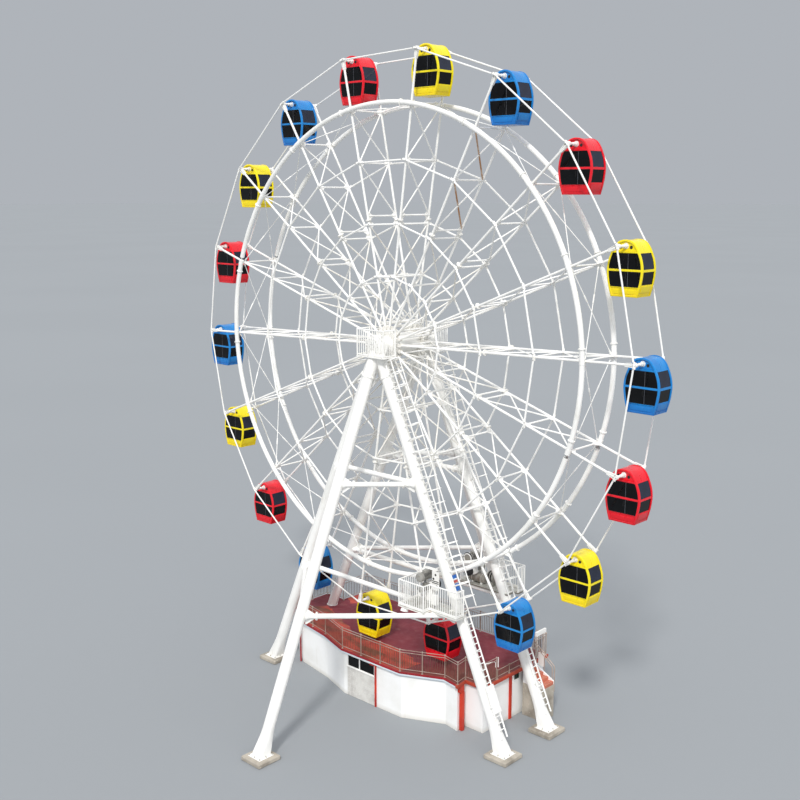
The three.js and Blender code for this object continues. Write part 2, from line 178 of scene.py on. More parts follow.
class Finish:
    """A material whose colour, gloss and surface come from patterns laid over each other."""

    def __init__(self, name, colour, roughness=0.5, metallic=0.0):
        self.material = bpy.data.materials.new(name)
        self.material.use_nodes = True
        self.tree = self.material.node_tree
        self.shader = self.tree.nodes["Principled BSDF"]
        self.set(base_color=(*colour, 1.0), roughness=roughness, metallic=metallic)
        self.where = self.node("ShaderNodeTexCoord").outputs["Object"]

    def node(self, kind):
        return self.tree.nodes.new(kind)

    def set(self, **values):
        """Sets the shader's own values, by their names in lower case."""
        for name, value in values.items():
            self.shader.inputs[name.replace("_", " ").title().replace("Ior", "IOR")].default_value = value

    def cloud(self, scale, detail=4.0, stretch=(1, 1, 1)):
        """A soft random pattern, from 0 to 1."""
        spread = self.node("ShaderNodeMapping")
        spread.inputs["Scale"].default_value = stretch
        self.tree.links.new(self.where, spread.inputs["Vector"])
        clouds = self.node("ShaderNodeTexNoise")
        clouds.inputs["Scale"].default_value = scale
        clouds.inputs["Detail"].default_value = detail
        self.tree.links.new(spread.outputs["Vector"], clouds.inputs["Vector"])
        return clouds.outputs["Fac"]

    def along(self, axis):
        """How far a point lies along an axis of the piece, in metres."""
        split = self.node("ShaderNodeSeparateXYZ")
        self.tree.links.new(self.where, split.inputs["Vector"])
        return split.outputs[axis]

    def span(self, value, low, high, start=0.0, end=1.0):
        """The value, turned into start at low and end at high."""
        scale = self.node("ShaderNodeMapRange")
        numbers = {"From Min": low, "From Max": high, "To Min": start, "To Max": end}
        for name, number in numbers.items():
            scale.inputs[name].default_value = number
        self.tree.links.new(value, scale.inputs["Value"])
        return scale.outputs["Result"]

    def over(self, colour, share):
        """Lays a colour over those before it, by a share from 0 to 1."""
        mix = self.node("ShaderNodeMix")
        mix.data_type = "RGBA"
        base = self.shader.inputs["Base Color"]
        if base.is_linked:
            self.tree.links.new(base.links[0].from_socket, mix.inputs[6])
        else:
            mix.inputs[6].default_value = base.default_value
        mix.inputs[7].default_value = (*colour, 1.0)
        self.tree.links.new(share, mix.inputs[0])
        self.tree.links.new(mix.outputs[2], base)

    def patches(self, colour, scale, detail, edge, most=1.0, stretch=(1, 1, 1)):
        """Soft patches of a colour, none below the edge's first value and most above its second."""
        self.over(colour, self.span(self.cloud(scale, detail, stretch), *edge, 0.0, most))

    def fade(self, colour, axis, edge, most=1.0):
        """A colour that comes in between two places along an axis."""
        self.over(colour, self.span(self.along(axis), *edge, 0.0, most))

    def gloss(self, scale, low, high, between=(0.3, 0.7), detail=4.0):
        """A roughness that wanders between two values."""
        share = self.span(self.cloud(scale, detail), *between, low, high)
        self.tree.links.new(share, self.shader.inputs["Roughness"])

    def grain(self, scale, detail, strength, depth, stretch=(1, 1, 1)):
        """Fine unevenness of the surface, so many metres deep."""
        bump = self.node("ShaderNodeBump")
        bump.inputs["Strength"].default_value = strength
        bump.inputs["Distance"].default_value = depth
        self.tree.links.new(self.cloud(scale, detail, stretch), bump.inputs["Height"])
        self.tree.links.new(bump.outputs["Normal"], self.shader.inputs["Normal"])


concrete = Finish("cast_concrete", srgb(186, 178, 164), 0.9)
concrete.patches(srgb(142, 134, 122), 1.4, 6, (0.42, 0.7))
concrete.patches(srgb(212, 204, 190), 9.0, 4, (0.6, 0.75), 0.6)
concrete.gloss(6.0, 0.75, 0.98)
concrete.grain(28.0, 6, 0.6, 0.01)

pads = Work()
foot_drop = hub.z - PAD_TOP
for face, side in SIDES:
    for name, hand in HANDS:
        if (face, name) == PIER_LEG:
            continue
        foot = leg_point(foot_drop, side, hand)
        low = (foot.x - PAD_HALF, foot.y - PAD_HALF, 0)
        pads.block(low, (foot.x + PAD_HALF, foot.y + PAD_HALF, PAD_TOP), PAD_CHAMFER)
pier = leg_point(hub.z - DECK_TOP, 1, -1)
pier_low = (pier.x - PIER_HALF, pier.y - PIER_HALF, 0)
pads.block(pier_low, (pier.x + PIER_HALF, pier.y + PIER_HALF, DECK_TOP - PIER_GAP), PAD_CHAMFER)
place(pads.mesh("concrete_pads", [concrete.material]), "concrete_pads", "supports_and_deck")

# Six legs of rolled steel tube, painted white: a pair in a plane on each side of the wheel and a stay
# that leans outwards. Each flares into a square foot that is bolted to its pad through a base plate,
# but the back left one stands on its pier in a welded shoe.
LEG_TUBE = 0.25
LEG_SIDES = 36
LEG_TOP_DROP = 0.2
FLARE_HEIGHT = 1.25
FLARE_STEPS = 10
FLARE_DRAWN = 0.05
FOOT_HALF = 0.31
BASE_HALF = 0.39
BASE_THICK = 0.035
BASE_CHAMFER = 0.006
ANCHOR_REACH = 0.345
ANCHOR_NUT = (0.03, 0.032, 6)
ANCHOR_STUD = (0.075, 0.014, 10)
COLLAR_DROP = 1.35
COLLAR_RADIUS = 0.295
COLLAR_THICK = 0.04
COLLAR_BOLTS = 18
COLLAR_BOLT = 0.034
SEAM_PITCH = 2.9
SEAM_END = 0.5
WELD_SEAM = [
    (-0.018, LEG_TUBE - 0.002), (-0.006, LEG_TUBE + 0.005),
    (0.006, LEG_TUBE + 0.005), (0.018, LEG_TUBE - 0.002),
]
PIER_SHOE = [(-0.004, 0.285), (0.018, 0.285), (0.024, 0.279), (0.026, 0.25)]
HEAD_SHARE = 0.62
BOLT_MARGIN = 1.05
FLANGE_GAP = 0.002
FLANGE_EDGE = 0.12
UP = Vector((0, 0, 1))

white_paint = Finish("white_steel_paint", srgb(250, 249, 245), 0.42)
white_paint.patches(srgb(230, 229, 223), 0.55, 5, (0.45, 0.75), 0.7)
white_paint.patches(srgb(206, 198, 180), 2.6, 6, (0.64, 0.8), 0.5, stretch=(1, 1, 0.35))
white_paint.gloss(3.0, 0.3, 0.55)
white_paint.grain(14.0, 3, 0.15, 0.004)

worn_paint = Finish("white_paint_with_rust", srgb(246, 244, 238), 0.5)
worn_paint.patches(srgb(222, 217, 206), 1.3, 5, (0.45, 0.7), 0.8)
worn_paint.patches(srgb(186, 140, 98), 2.3, 7, (0.62, 0.72), 0.6)
worn_paint.gloss(2.3, 0.4, 0.85, between=(0.5, 0.7), detail=7)
worn_paint.grain(22.0, 5, 0.35, 0.006)

bolt_steel = Finish("zinc_bolts", srgb(196, 194, 186), 0.45, 0.6)
bolt_steel.patches(srgb(150, 118, 88), 3.0, 5, (0.58, 0.72), 0.8)
bolt_steel.gloss(9.0, 0.35, 0.65)

STEEL = [white_paint.material, worn_paint.material, bolt_steel.material]
PAINT, WORN, BOLT = 0, 1, 2


def across(axis):
    """Two unit vectors square to an axis and to each other."""
    along = axis.normalized()
    guide = UP if abs(along.z) < 0.95 else Vector((1, 0, 0))
    first = guide.cross(along).normalized()
    return first, along.cross(first)


def circle(centre, axis, radius, sides, turn=0.0):
    first, second = across(axis)
    angles = [turn + 2 * math.pi * i / sides for i in range(sides)]
    return [centre + radius * (math.cos(a) * first + math.sin(a) * second) for a in angles]


def turned(work, start, axis, steps, sides=16, finish=0):
    """A turned part: steps are pairs of a distance along the axis and a radius."""
    along = axis.normalized()
    work.loft([circle(start + along * reach, axis, radius, sides) for reach, radius in steps], finish)


def pipe(work, start, end, radius, sides=12, finish=0):
    """A straight bar or tube between two points."""
    work.loft([circle(spot, end - start, radius, sides) for spot in (start, end)], finish)


def bolts(work, centre, axis, reach, count, size, finish=0, turn=0.0):
    """A ring of hexagon heads that stand on a plate."""
    along = axis.normalized()
    for spot in circle(centre, axis, reach, count, turn):
        pipe(work, spot, spot + along * size * HEAD_SHARE, size / 2, 6, finish)


def flange(work, centre, axis, radius, thick, count, size, finish=0, sides=32):
    """A pair of bolted discs where two lengths of tube meet."""
    along = axis.normalized()
    edge = thick * FLANGE_EDGE
    disc = [(0, radius - edge), (edge, radius), (thick - edge, radius), (thick, radius - edge)]
    for hand in (-1, 1):
        way = along * hand
        spot = centre + way * FLANGE_GAP
        turned(work, spot, way, disc, sides, finish)
        bolts(work, spot + way * thick, way, radius - size * BOLT_MARGIN, count, size, finish)


def square_ring(centre, half, sides):
    """Points round a square, at the same angles as those of a circle."""
    ring = []
    for i in range(sides):
        angle = 2 * math.pi * i / sides
        reach = half / max(abs(math.cos(angle)), abs(math.sin(angle)))
        ring.append(centre + Vector((reach * math.cos(angle), reach * math.sin(angle), 0)))
    return ring


def level_cut(centre, axis, radius, sides):
    """The level cut through a leaning tube."""
    ring = []
    for i in range(sides):
        angle = 2 * math.pi * i / sides
        way = Vector((math.cos(angle), math.sin(angle), 0))
        ring.append(centre + way * radius / way.cross(axis).length)
    return ring


def base_plate(work, foot):
    """The plate under a leg's foot, with a nut and a stud on each of its eight anchors."""
    top = PAD_TOP + BASE_THICK
    low = (foot.x - BASE_HALF, foot.y - BASE_HALF, PAD_TOP)
    work.block(low, (foot.x + BASE_HALF, foot.y + BASE_HALF, top), BASE_CHAMFER)
    for x in (-1, 0, 1):
        for y in (-1, 0, 1):
            if x or y:
                spot = Vector((foot.x + x * ANCHOR_REACH, foot.y + y * ANCHOR_REACH, top))
                for height, radius, sides in (ANCHOR_NUT, ANCHOR_STUD):
                    pipe(work, spot, spot + UP * height, radius, sides, BOLT)


def flared_foot(work, neck, foot, axis):
    """The foot of a leg, which turns from the tube's round into a square."""
    rings = []
    for i in range(FLARE_STEPS + 1):
        share = i / FLARE_STEPS
        centre = neck.lerp(foot, share)
        eased = share * share * (3 - 2 * share)
        round_one = level_cut(centre, axis, LEG_TUBE, LEG_SIDES)
        square_one = square_ring(centre, FOOT_HALF - FLARE_DRAWN * (1 - share), LEG_SIDES)
        rings.append([a.lerp(b, eased) for a, b in zip(round_one, square_one)])
    work.loft(rings)


def steel_leg(side, hand, on_pier):
    work = Work()
    axis = (leg_point(1, side, hand) - leg_point(0, side, hand)).normalized()
    end_drop = hub.z - DECK_TOP if on_pier else foot_drop - FLARE_HEIGHT
    neck = leg_point(end_drop, side, hand)
    ends = (leg_point(LEG_TOP_DROP, side, hand), neck)
    work.loft([level_cut(end, axis, LEG_TUBE, LEG_SIDES) for end in ends])
    collar = leg_point(COLLAR_DROP, side, hand)
    flange(work, collar, axis, COLLAR_RADIUS, COLLAR_THICK, COLLAR_BOLTS, COLLAR_BOLT)
    drop = COLLAR_DROP + SEAM_PITCH
    while drop < end_drop - SEAM_END:
        turned(work, leg_point(drop, side, hand), axis, WELD_SEAM, LEG_SIDES)
        drop += SEAM_PITCH
    if on_pier:
        turned(work, neck, UP, PIER_SHOE, LEG_SIDES)
    else:
        foot = leg_point(foot_drop, side, hand)
        flared_foot(work, neck, foot, axis)
        base_plate(work, foot)
    return work


for face, side in SIDES:
    for name, hand in HANDS:
        tube_name = f"{face}_{name}_leg_tube"
        mesh = steel_leg(side, hand, (face, name) == PIER_LEG).mesh(tube_name, STEEL)
        place(mesh, tube_name, "supports_and_deck", [f"{face}_{name}_leg"])

# Tie beams between the three legs of each side, at two levels. They are lighter tubes, bolted through
# flanges to short stubs that spread into gusset plates on the legs.
BEAM_TUBE = 0.115
BEAM_DROPS = (5.9, 11.35)
BEAM_FLANGE = 0.185
BEAM_FLANGE_THICK = 0.026
BEAM_BOLTS = 10
BEAM_BOLT = 0.03
STUB_LENGTH = 0.46
STUB_ROOT = LEG_TUBE - 0.03
STUB = [(0, 0.2), (0.05, 0.185), (0.17, 0.13), (0.2, BEAM_TUBE + 0.002)]
GUSSET = ((0, 0), (0.42, 0.1), (0.05, 0.36), (-0.02, 0.36))
GUSSET_HALF = 0.009


def tie_beam(work, start, end):
    axis = (end - start).normalized()
    pipe(work, start, end, BEAM_TUBE, 20)
    for origin, way in ((start, axis), (end, -axis)):
        root = origin + way * STUB_ROOT
        turned(work, root, way, STUB, 24)
        joint = origin + way * (LEG_TUBE + STUB_LENGTH)
        flange(work, joint, way, BEAM_FLANGE, BEAM_FLANGE_THICK, BEAM_BOLTS, BEAM_BOLT)
        flat = way.cross(UP).normalized()
        rise = flat.cross(way).normalized()
        for hand in (-1, 1):
            corners = [root + way * along + rise * hand * spread for along, spread in GUSSET]
            work.loft([[c + flat * half for c in corners] for half in (GUSSET_HALF, -GUSSET_HALF)])


for face, side in SIDES:
    beams = Work()
    for drop in BEAM_DROPS:
        left, right, stay = (leg_point(drop, side, hand) for hand in (-1, 1, 0))
        for start, end in ((left, right), (right, stay), (stay, left)):
            tie_beam(beams, start, end)
    place(beams.mesh(f"{face}_tie_beams", STEEL), f"{face}_tie_beams", "supports_and_deck")

# Bearing heads where the legs meet, one at each end of the axle: a turned steel housing with two ribs,
# a bolted cover and a pair of lifting eyes.
HEAD_RADIUS = 0.47
HEAD_INNER = 1.34
HEAD_OUTER = 1.86
HEAD_RIBS = (HEAD_INNER + 0.12, HEAD_OUTER - 0.12)
AXLE_RADIUS = 0.26
COVER_FACE = HEAD_OUTER + 0.045
HOUSING = [
    (HEAD_INNER, 0.4), (HEAD_INNER + 0.03, HEAD_RADIUS),
    (HEAD_OUTER - 0.03, HEAD_RADIUS), (HEAD_OUTER, 0.43),
]
RIB = ((-0.03, 0.0), (-0.02, 0.022), (0.02, 0.022), (0.03, 0.0))
COVER = [
    (HEAD_OUTER - 0.01, 0.39), (HEAD_OUTER + 0.035, 0.39),
    (COVER_FACE, 0.375), (COVER_FACE, AXLE_RADIUS),
]
COVER_BOLTS = (0.335, 16, 0.036)
EYE_PLACE = 1.6
EYE_LEAN = 0.6
EYE_STEM = [(0, 0.03), (0.03, 0.022)]
EYE_LIFT = 0.06
EYE_RADIUS = 0.035
EYE_BAR = 0.011


def bent_pipe(work, path, radius, sides=12, finish=0, joined=False):
    """A pipe that follows a path, mitred at each of its points."""
    rings = []
    for i, here in enumerate(path):
        before = path[i - 1] if i or joined else here
        after = path[(i + 1) % len(path)] if i + 1 < len(path) or joined else here
        rings.append(circle(here, after - before, radius, sides))
    work.loft(rings, finish, joined=joined)


for face, side in SIDES:
    head = Work()
    out = Vector((0, side, 0))
    turned(head, hub, out, HOUSING, 48)
    for place_out in HEAD_RIBS:
        turned(head, hub, out, [(place_out + along, HEAD_RADIUS + rise) for along, rise in RIB], 48)
    turned(head, hub, out, COVER, 48)
    bolts(head, hub + out * COVER_FACE, out, *COVER_BOLTS, BOLT)
    for lean in (-EYE_LEAN, EYE_LEAN):
        way = Vector((math.sin(lean), 0, math.cos(lean)))
        stem = hub + out * EYE_PLACE + way * (HEAD_RADIUS - 0.01)
        turned(head, stem, way, EYE_STEM, 12, BOLT)
        eye = circle(stem + way * EYE_LIFT, out, EYE_RADIUS, 16)
        bent_pipe(head, eye, EYE_BAR, 8, BOLT, joined=True)
    name = f"{face}_bearing_head"
    place(head.mesh(name, STEEL), name, "supports_and_deck")

# Axle and hub, which turn with the wheel: a steel drum between two thick discs, to which the spokes
# are bolted through fork plates. Web plates stiffen the discs, and keeper plates close the axle's ends.
HUB_CHORD = 0.88
DISC_HALF = 0.06
DISC_RADIUS = 0.65
DISC_EDGE = 0.012
DISC_LOW = HUB_CHORD - DISC_HALF
DISC_HIGH = HUB_CHORD + DISC_HALF
BOSS_FACE = DISC_HIGH + 0.06
DRUM_RADIUS = 0.45
AXLE_END = 1.92
KEEPER_FACE = AXLE_END - 0.001
AXLE = [(0, AXLE_RADIUS), (AXLE_END - 0.02, AXLE_RADIUS), (AXLE_END, AXLE_RADIUS - 0.02)]
DISC = [
    (DISC_LOW, DISC_RADIUS - DISC_EDGE), (DISC_LOW + DISC_EDGE, DISC_RADIUS),
    (DISC_HIGH - DISC_EDGE, DISC_RADIUS), (DISC_HIGH, DISC_RADIUS - DISC_EDGE),
]
BOSS_BOLTS = (0.305, 18, 0.032)
KEEPER_BOLTS = (0.12, 6, 0.04)
BOSS = [(DISC_HIGH - 0.01, 0.36), (DISC_HIGH + 0.05, 0.35), (BOSS_FACE, 0.34), (BOSS_FACE, AXLE_RADIUS)]
KEEPER = [(AXLE_END - 0.015, 0.2), (KEEPER_FACE, 0.2)]
WEBS = 9
WEB_DEPTH = 0.3
WEB_HALF = 0.01

hub_work = Work()
for side in (-1, 1):
    out = Vector((0, side, 0))
    turned(hub_work, hub, out, AXLE, 40)
    turned(hub_work, hub, out, [(0, DRUM_RADIUS), (HUB_CHORD, DRUM_RADIUS)], 48)
    turned(hub_work, hub, out, DISC, 72)
    turned(hub_work, hub, out, BOSS, 48)
    bolts(hub_work, hub + out * BOSS_FACE, out, *BOSS_BOLTS, BOLT)
    turned(hub_work, hub, out, KEEPER, 32, WORN)
    bolts(hub_work, hub + out * KEEPER_FACE, out, *KEEPER_BOLTS, BOLT)
    for i in range(WEBS):
        angle = 2 * math.pi * (i + 0.5) / WEBS
        way = Vector((math.cos(angle), 0, math.sin(angle)))
        flat = way.cross(out) * WEB_HALF
        corners = [
            hub + way * DRUM_RADIUS + out * DISC_LOW,
            hub + way * (DISC_RADIUS - 0.03) + out * DISC_LOW,
            hub + way * DRUM_RADIUS + out * (DISC_LOW - WEB_DEPTH),
        ]
        hub_work.loft([[c + flat for c in corners], [c - flat for c in corners]])
hub_mesh = hub_work.mesh("hub_drum_and_axle", STEEL)
place(hub_mesh, "hub_drum_and_axle", "wheel", ["hub_and_axle"])

# Eighteen spokes. Each is a ladder of two steel chords with struts and crossed braces, in two lengths
# that are bolted at a flange, and ends in a fork that holds the shaft of one cabin. Tie tubes near the
# hub run from cleats on each spoke to the next.
PIVOT_RADIUS = 12.8
BAYS = 18
TIP_CHORD = 0.987
CHORD_START = 0.64
CHORD_TUBE = 0.053
STRUT_TUBE = 0.042
BRACE_TUBE = 0.035
TIE_TUBE = 0.043
TIE_GAP = 0.0008
CORE_RADIUS = 0.241 * PIVOT_RADIUS
FLANGE_IN = 0.4244 * PIVOT_RADIUS
FLANGE_OUT = 0.4549 * PIVOT_RADIUS
MID_RADIUS = 0.6416 * PIVOT_RADIUS
RIM_RADIUS = 0.8254 * PIVOT_RADIUS
BAY_ENDS = (1.0, CORE_RADIUS, FLANGE_IN, FLANGE_OUT, MID_RADIUS, RIM_RADIUS)
BRACED_BAYS = [(a, b) for a, b in zip(BAY_ENDS, BAY_ENDS[1:]) if a != FLANGE_IN]
FORK_PLATE = (0.42, 0.86)
FORK_PLATE_HALF = 0.075
FORK_PLATE_THICK = 0.013
FORK_BOLTS = (0.47, 0.54, 0.61)
SPLICE_RADIUS = 0.135
SPLICE_THICK = 0.024
GUSSET_LONG, GUSSET_SHORT = 0.24, 0.07
GUSSET_REACH = 0.27
GUSSET_THIN = 0.007
CLEAT = ((-0.17, -0.05), (0.17, -0.05), (0.13, 0.06), (-0.13, 0.06))
CLEAT_THICK = 0.02
CLEAT_BOLTS = (-0.12, 0.12)
TIP_BOSS = [(-0.085, 0.075), (-0.075, 0.09), (0.05, 0.09), (0.06, 0.08)]
TIP_NUT = [(0.05, 0.066), (0.075, 0.066), (0.08, 0.058), (0.1, 0.036)]
SHAFT_SLEEVE = [(-0.12, 0.052), (-0.3, 0.052), (-0.31, 0.064), (-0.36, 0.064), (-0.37, 0.052), (-0.43, 0.05)]
FORK_CHEEK = (
    (PIVOT_RADIUS - 0.42, 0.03), (PIVOT_RADIUS - 0.42, 0.062),
    (PIVOT_RADIUS - 0.02, 0.098), (PIVOT_RADIUS + 0.03, 0.09),
)
CHEEK_HALF = 0.05
SHAFT_TUBE = 0.045
CABIN_TOP = 0.24
CABIN_NAMES = [f"cabin_{i + 1:02d}" for i in range(BAYS)]
RUSTY_SPOKE = 1
ALONG_X = Vector((1, 0, 0))
NEXT_SPOKE = Matrix.Rotation(2 * math.pi / BAYS, 4, "Y")

rusty_steel = Finish("rusty_brown_steel", srgb(184, 134, 92), 0.75)
rusty_steel.patches(srgb(226, 212, 194), 1.6, 5, (0.45, 0.65), 0.8)
rusty_steel.gloss(5.0, 0.6, 0.9)
rusty_steel.grain(30.0, 5, 0.35, 0.004)
SPOKE_FINISHES = STEEL + [rusty_steel.material]
RUST = 3


def cabin_pivot(name):
    low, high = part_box(name)
    return Vector(((low.x + high.x) / 2, 0, high.z - CABIN_TOP))


def chord_y(radius):
    """How far a chord stands off the wheel's middle plane, which grows a little towards the tip."""
    share = (radius - CHORD_START) / (PIVOT_RADIUS - CHORD_START)
    return HUB_CHORD + share * (TIP_CHORD - HUB_CHORD)


def spoke_point(radius, side):
    return Vector((radius, side * chord_y(radius), 0))


def ring_y(radius, tube):
    """The plane of a ring of tubes that lies on the outer side of the chords."""
    return chord_y(radius) + 0.06 + tube * math.cos(math.pi / 6) + TIE_GAP


def tie_cleat(work, here, way, spread, side, tube):
    """The plate on a spoke's outer side that two tie tubes are bolted to."""
    plate = [here + way * a + spread * b for a, b in CLEAT]
    near = tube * 0.9
    work.loft([[p - Vector((0, side * depth, 0)) for p in plate] for depth in (near, near - CLEAT_THICK)])
    for reach in CLEAT_BOLTS:
        spot = here + way * reach + Vector((0, side * tube * 0.8, 0))
        pipe(work, spot, spot + Vector((0, side * 0.03, 0)), 0.018, 6, BOLT)


def fork_plates(work, side):
    """The two bolted plates that hold a chord's foot to the hub's disc."""
    start, end = FORK_PLATE
    half = FORK_PLATE_THICK
    for face in (-1, 1):
        y = side * HUB_CHORD + face * (DISC_HALF + 0.014)
        work.block((start, y - half, -FORK_PLATE_HALF), (end, y + half, FORK_PLATE_HALF), 0.004, WORN)
        for reach in FORK_BOLTS:
            spot = Vector((reach, y + face * half, 0))
            bolts(work, spot, Vector((0, face, 0)), 0.035, 2, 0.028, BOLT, math.pi / 2)


def chord_fittings(work, side):
    """The splice, gussets, tie tube and shaft boss of one chord."""
    out = Vector((0, side, 0))
    splice = spoke_point((FLANGE_IN + FLANGE_OUT) / 2, side)
    flange(work, splice, ALONG_X, SPLICE_RADIUS, SPLICE_THICK, 8, 0.026, WORN, 24)
    for radius in BAY_ENDS[1:]:
        chord = side * chord_y(radius)
        tip = chord - side * GUSSET_REACH
        plate = [
            (radius - GUSSET_LONG, chord), (radius + GUSSET_LONG, chord),
            (radius + GUSSET_SHORT, tip), (radius - GUSSET_SHORT, tip),
        ]
        work.slab(plate if side < 0 else plate[::-1], -GUSSET_THIN, GUSSET_THIN)
    core = Vector((CORE_RADIUS, side * ring_y(CORE_RADIUS, TIE_TUBE), 0))
    pipe(work, core, NEXT_SPOKE @ core, TIE_TUBE, 14)
    tie_cleat(work, core, UP, ALONG_X, side, TIE_TUBE)
    tip = spoke_point(PIVOT_RADIUS, side)
    turned(work, tip, out, TIP_BOSS, 24)
    turned(work, tip, out, TIP_NUT, 16, BOLT)
    turned(work, tip, out, SHAFT_SLEEVE, 20)
    for hand in (-1, 1):
        ends = (-CHEEK_HALF, CHEEK_HALF)
        work.loft([[(x, tip.y + reach, hand * z) for x, z in FORK_CHEEK] for reach in ends])


def spoke_ladder(name, rusty):
    """A spoke that lies along X, with its two tie tubes to the next spoke."""
    spoke = Work()
    for side in (-1, 1):
        pipe(spoke, spoke_point(0.7, side), spoke_point(PIVOT_RADIUS - 0.06, side), CHORD_TUBE, 16)
        fork_plates(spoke, side)
        chord_fittings(spoke, side)
    shaft_end = Vector((PIVOT_RADIUS, TIP_CHORD, 0))
    pipe(spoke, Vector((PIVOT_RADIUS, -TIP_CHORD, 0)), shaft_end, SHAFT_TUBE, 16, BOLT)
    for radius in BAY_ENDS:
        pipe(spoke, spoke_point(radius, -1), spoke_point(radius, 1), STRUT_TUBE, 12)
    for inner, outer in BRACED_BAYS:
        finish = WORN if outer <= FLANGE_IN else PAINT
        for side in (-1, 1):
            own = RUST if rusty and side > 0 and inner >= FLANGE_OUT else finish
            pipe(spoke, spoke_point(inner, side), spoke_point(outer, -side), BRACE_TUBE, 10, own)
    return spoke.mesh(name, SPOKE_FINISHES)


pivots = [cabin_pivot(name) for name in CABIN_NAMES]
angles = [math.atan2(p.z - hub.z, p.x - hub.x) for p in pivots]
spoke_mesh = spoke_ladder("spoke_ladder", False)
rusty_mesh = spoke_ladder("spoke_ladder_with_rust", True)
for i, angle in enumerate(angles):
    at = Matrix.Translation(hub) @ Matrix.Rotation(-angle, 4, "Y")
    mesh = rusty_mesh if i == RUSTY_SPOKE else spoke_mesh
    place(mesh, f"spoke_ladder_{i + 1:02d}", "wheel", [f"spoke_frame_{i + 1:02d}"], at)

# The rim is a large bent tube on each face of the wheel, in one length for each bay. The lengths are
# bolted at flanges, and every spoke holds the tube in a clamp band with bolted lugs.
RIM_TUBE = 0.12
RIM_DRAWN = 0.109
RIM_SEGMENTS = 252
RIM_SPLICE_TURN = math.radians(2.6)
RIM_SPLICE_RADIUS = 0.152
BAND = [(-0.13, RIM_DRAWN), (-0.125, RIM_DRAWN + 0.01), (0.125, RIM_DRAWN + 0.01), (0.13, RIM_DRAWN)]
BAND_BOLTS = (0.07, -0.07)


def wheel_point(radius, angle, y):
    return hub + Vector((radius * math.cos(angle), y, radius * math.sin(angle)))


for face, side in SIDES:
    rim = Work()
    y = side * ring_y(RIM_RADIUS, RIM_TUBE)
    turns = [angles[0] + 2 * math.pi * i / RIM_SEGMENTS for i in range(RIM_SEGMENTS)]
    bent_pipe(rim, [wheel_point(RIM_RADIUS, turn, y) for turn in turns], RIM_DRAWN, 24, joined=True)
    for angle in angles:
        here = wheel_point(RIM_RADIUS, angle, y)
        way = Vector((-math.sin(angle), 0, math.cos(angle)))
        spread = Vector((math.cos(angle), 0, math.sin(angle)))
        turned(rim, here, way, BAND, 24)
        for hand in (-1, 1):
            lug = here + spread * hand * (RIM_DRAWN + 0.005)
            for reach in BAND_BOLTS:
                bolts(rim, lug + way * reach, spread * hand, 0.001, 1, 0.032, BOLT)
        joint = angle + RIM_SPLICE_TURN
        along = Vector((-math.sin(joint), 0, math.cos(joint)))
        spot = wheel_point(RIM_RADIUS, joint, y)
        flange(rim, spot, along, RIM_SPLICE_RADIUS, 0.02, 10, 0.022, PAINT, 28)
    place(rim.mesh(f"{face}_rim_tube", STEEL), f"{face}_rim_tube", "wheel", [f"{face}_rim"])

# Lighter straight tubes tie the spokes together at two stations inside the rim and at their tips.
# Each tube is bolted at its ends to a cleat on the spoke.
RINGS = (
    ("mid_ring", MID_RADIUS, TIE_TUBE),
    ("inner_ring", FLANGE_IN, TIE_TUBE),
    ("outer_tie", PIVOT_RADIUS, 0.036),
)
for face, side in SIDES:
    for ring_name, radius, tube in RINGS:
        ring = Work()
        y = side * ring_y(radius, tube)
        corners = [wheel_point(radius, angle, y) for angle in angles]
        for i, here in enumerate(corners):
            there = corners[(i + 1) % BAYS]
            pipe(ring, here, there, tube, 14)
            way = (there - corners[i - 1]).normalized()
            tie_cleat(ring, here, way, (here - hub).normalized(), side, tube)
        name = f"{face}_{ring_name}_tubes"
        place(ring.mesh(name, STEEL), name, "wheel", [f"{face}_{ring_name}"])

# Crossed tie rods stiffen the rim: two thin steel rods in each bay run from one face of the wheel to
# the other, each tightened by a turnbuckle and held in a socket at both ends.
ROD_RADIUS = 0.019
TURNBUCKLE = [(-0.2, 0.018), (-0.17, 0.032), (0.17, 0.032), (0.2, 0.018)]
TURNBUCKLE_SHARE = 0.36
ROD_SOCKET = [(0, 0.04), (0.02, 0.045), (0.16, 0.03), (0.18, 0.018)]
SOCKET_REACH = 0.1

rods = Work()
rod_y = chord_y(RIM_RADIUS)
for i, angle in enumerate(angles):
    following = angles[(i + 1) % BAYS]
    for side in (-1, 1):
        start = wheel_point(RIM_RADIUS, angle, side * rod_y)
        end = wheel_point(RIM_RADIUS, following, -side * rod_y)
        way = (end - start).normalized()
        pipe(rods, start, end, ROD_RADIUS, 8)
        turned(rods, start.lerp(end, TURNBUCKLE_SHARE), way, TURNBUCKLE, 10)
        for origin, inward in ((start, way), (end, -way)):
            turned(rods, origin + inward * SOCKET_REACH, inward, ROD_SOCKET, 10)
place(rods.mesh("rim_cross_rods", STEEL), "rim_cross_rods", "wheel")

# Cabins: moulded and painted shells with a thick frame at each end, dark tinted panes, a recessed arch
# above the windows and a skirt below. They hang on their shafts and stay level as the wheel turns.
END_Y = 0.5
FRAME_DEPTH = 0.085
FRAME_WIDTH = 0.078
SKIN_SET = 0.022
ROOF_BLEND = 0.3
HALF_PROFILE = [
    (0.57, -1.9), (0.662, -1.6), (0.735, -1.28), (0.772, -0.92), (0.73, -0.58),
    (0.615, -0.26), (0.49, -0.02), (0.345, 0.14), (0.18, 0.217), (0.0, 0.24),
]
CURVE_CUTS = 4
UPPER_PANE = (-0.862, -0.262)
LOWER_PANE = (-1.52, -0.945)
SIDE_LOWER_PANE = (-1.44, -0.955)
END_PANES = (LOWER_PANE, UPPER_PANE)
SIDE_PANES = (SIDE_LOWER_PANE, UPPER_PANE)
PANE_REACH = END_Y - 0.1
REVEAL_DEPTH = 0.05
SIDE_GLASS = (0.014, 0.022)
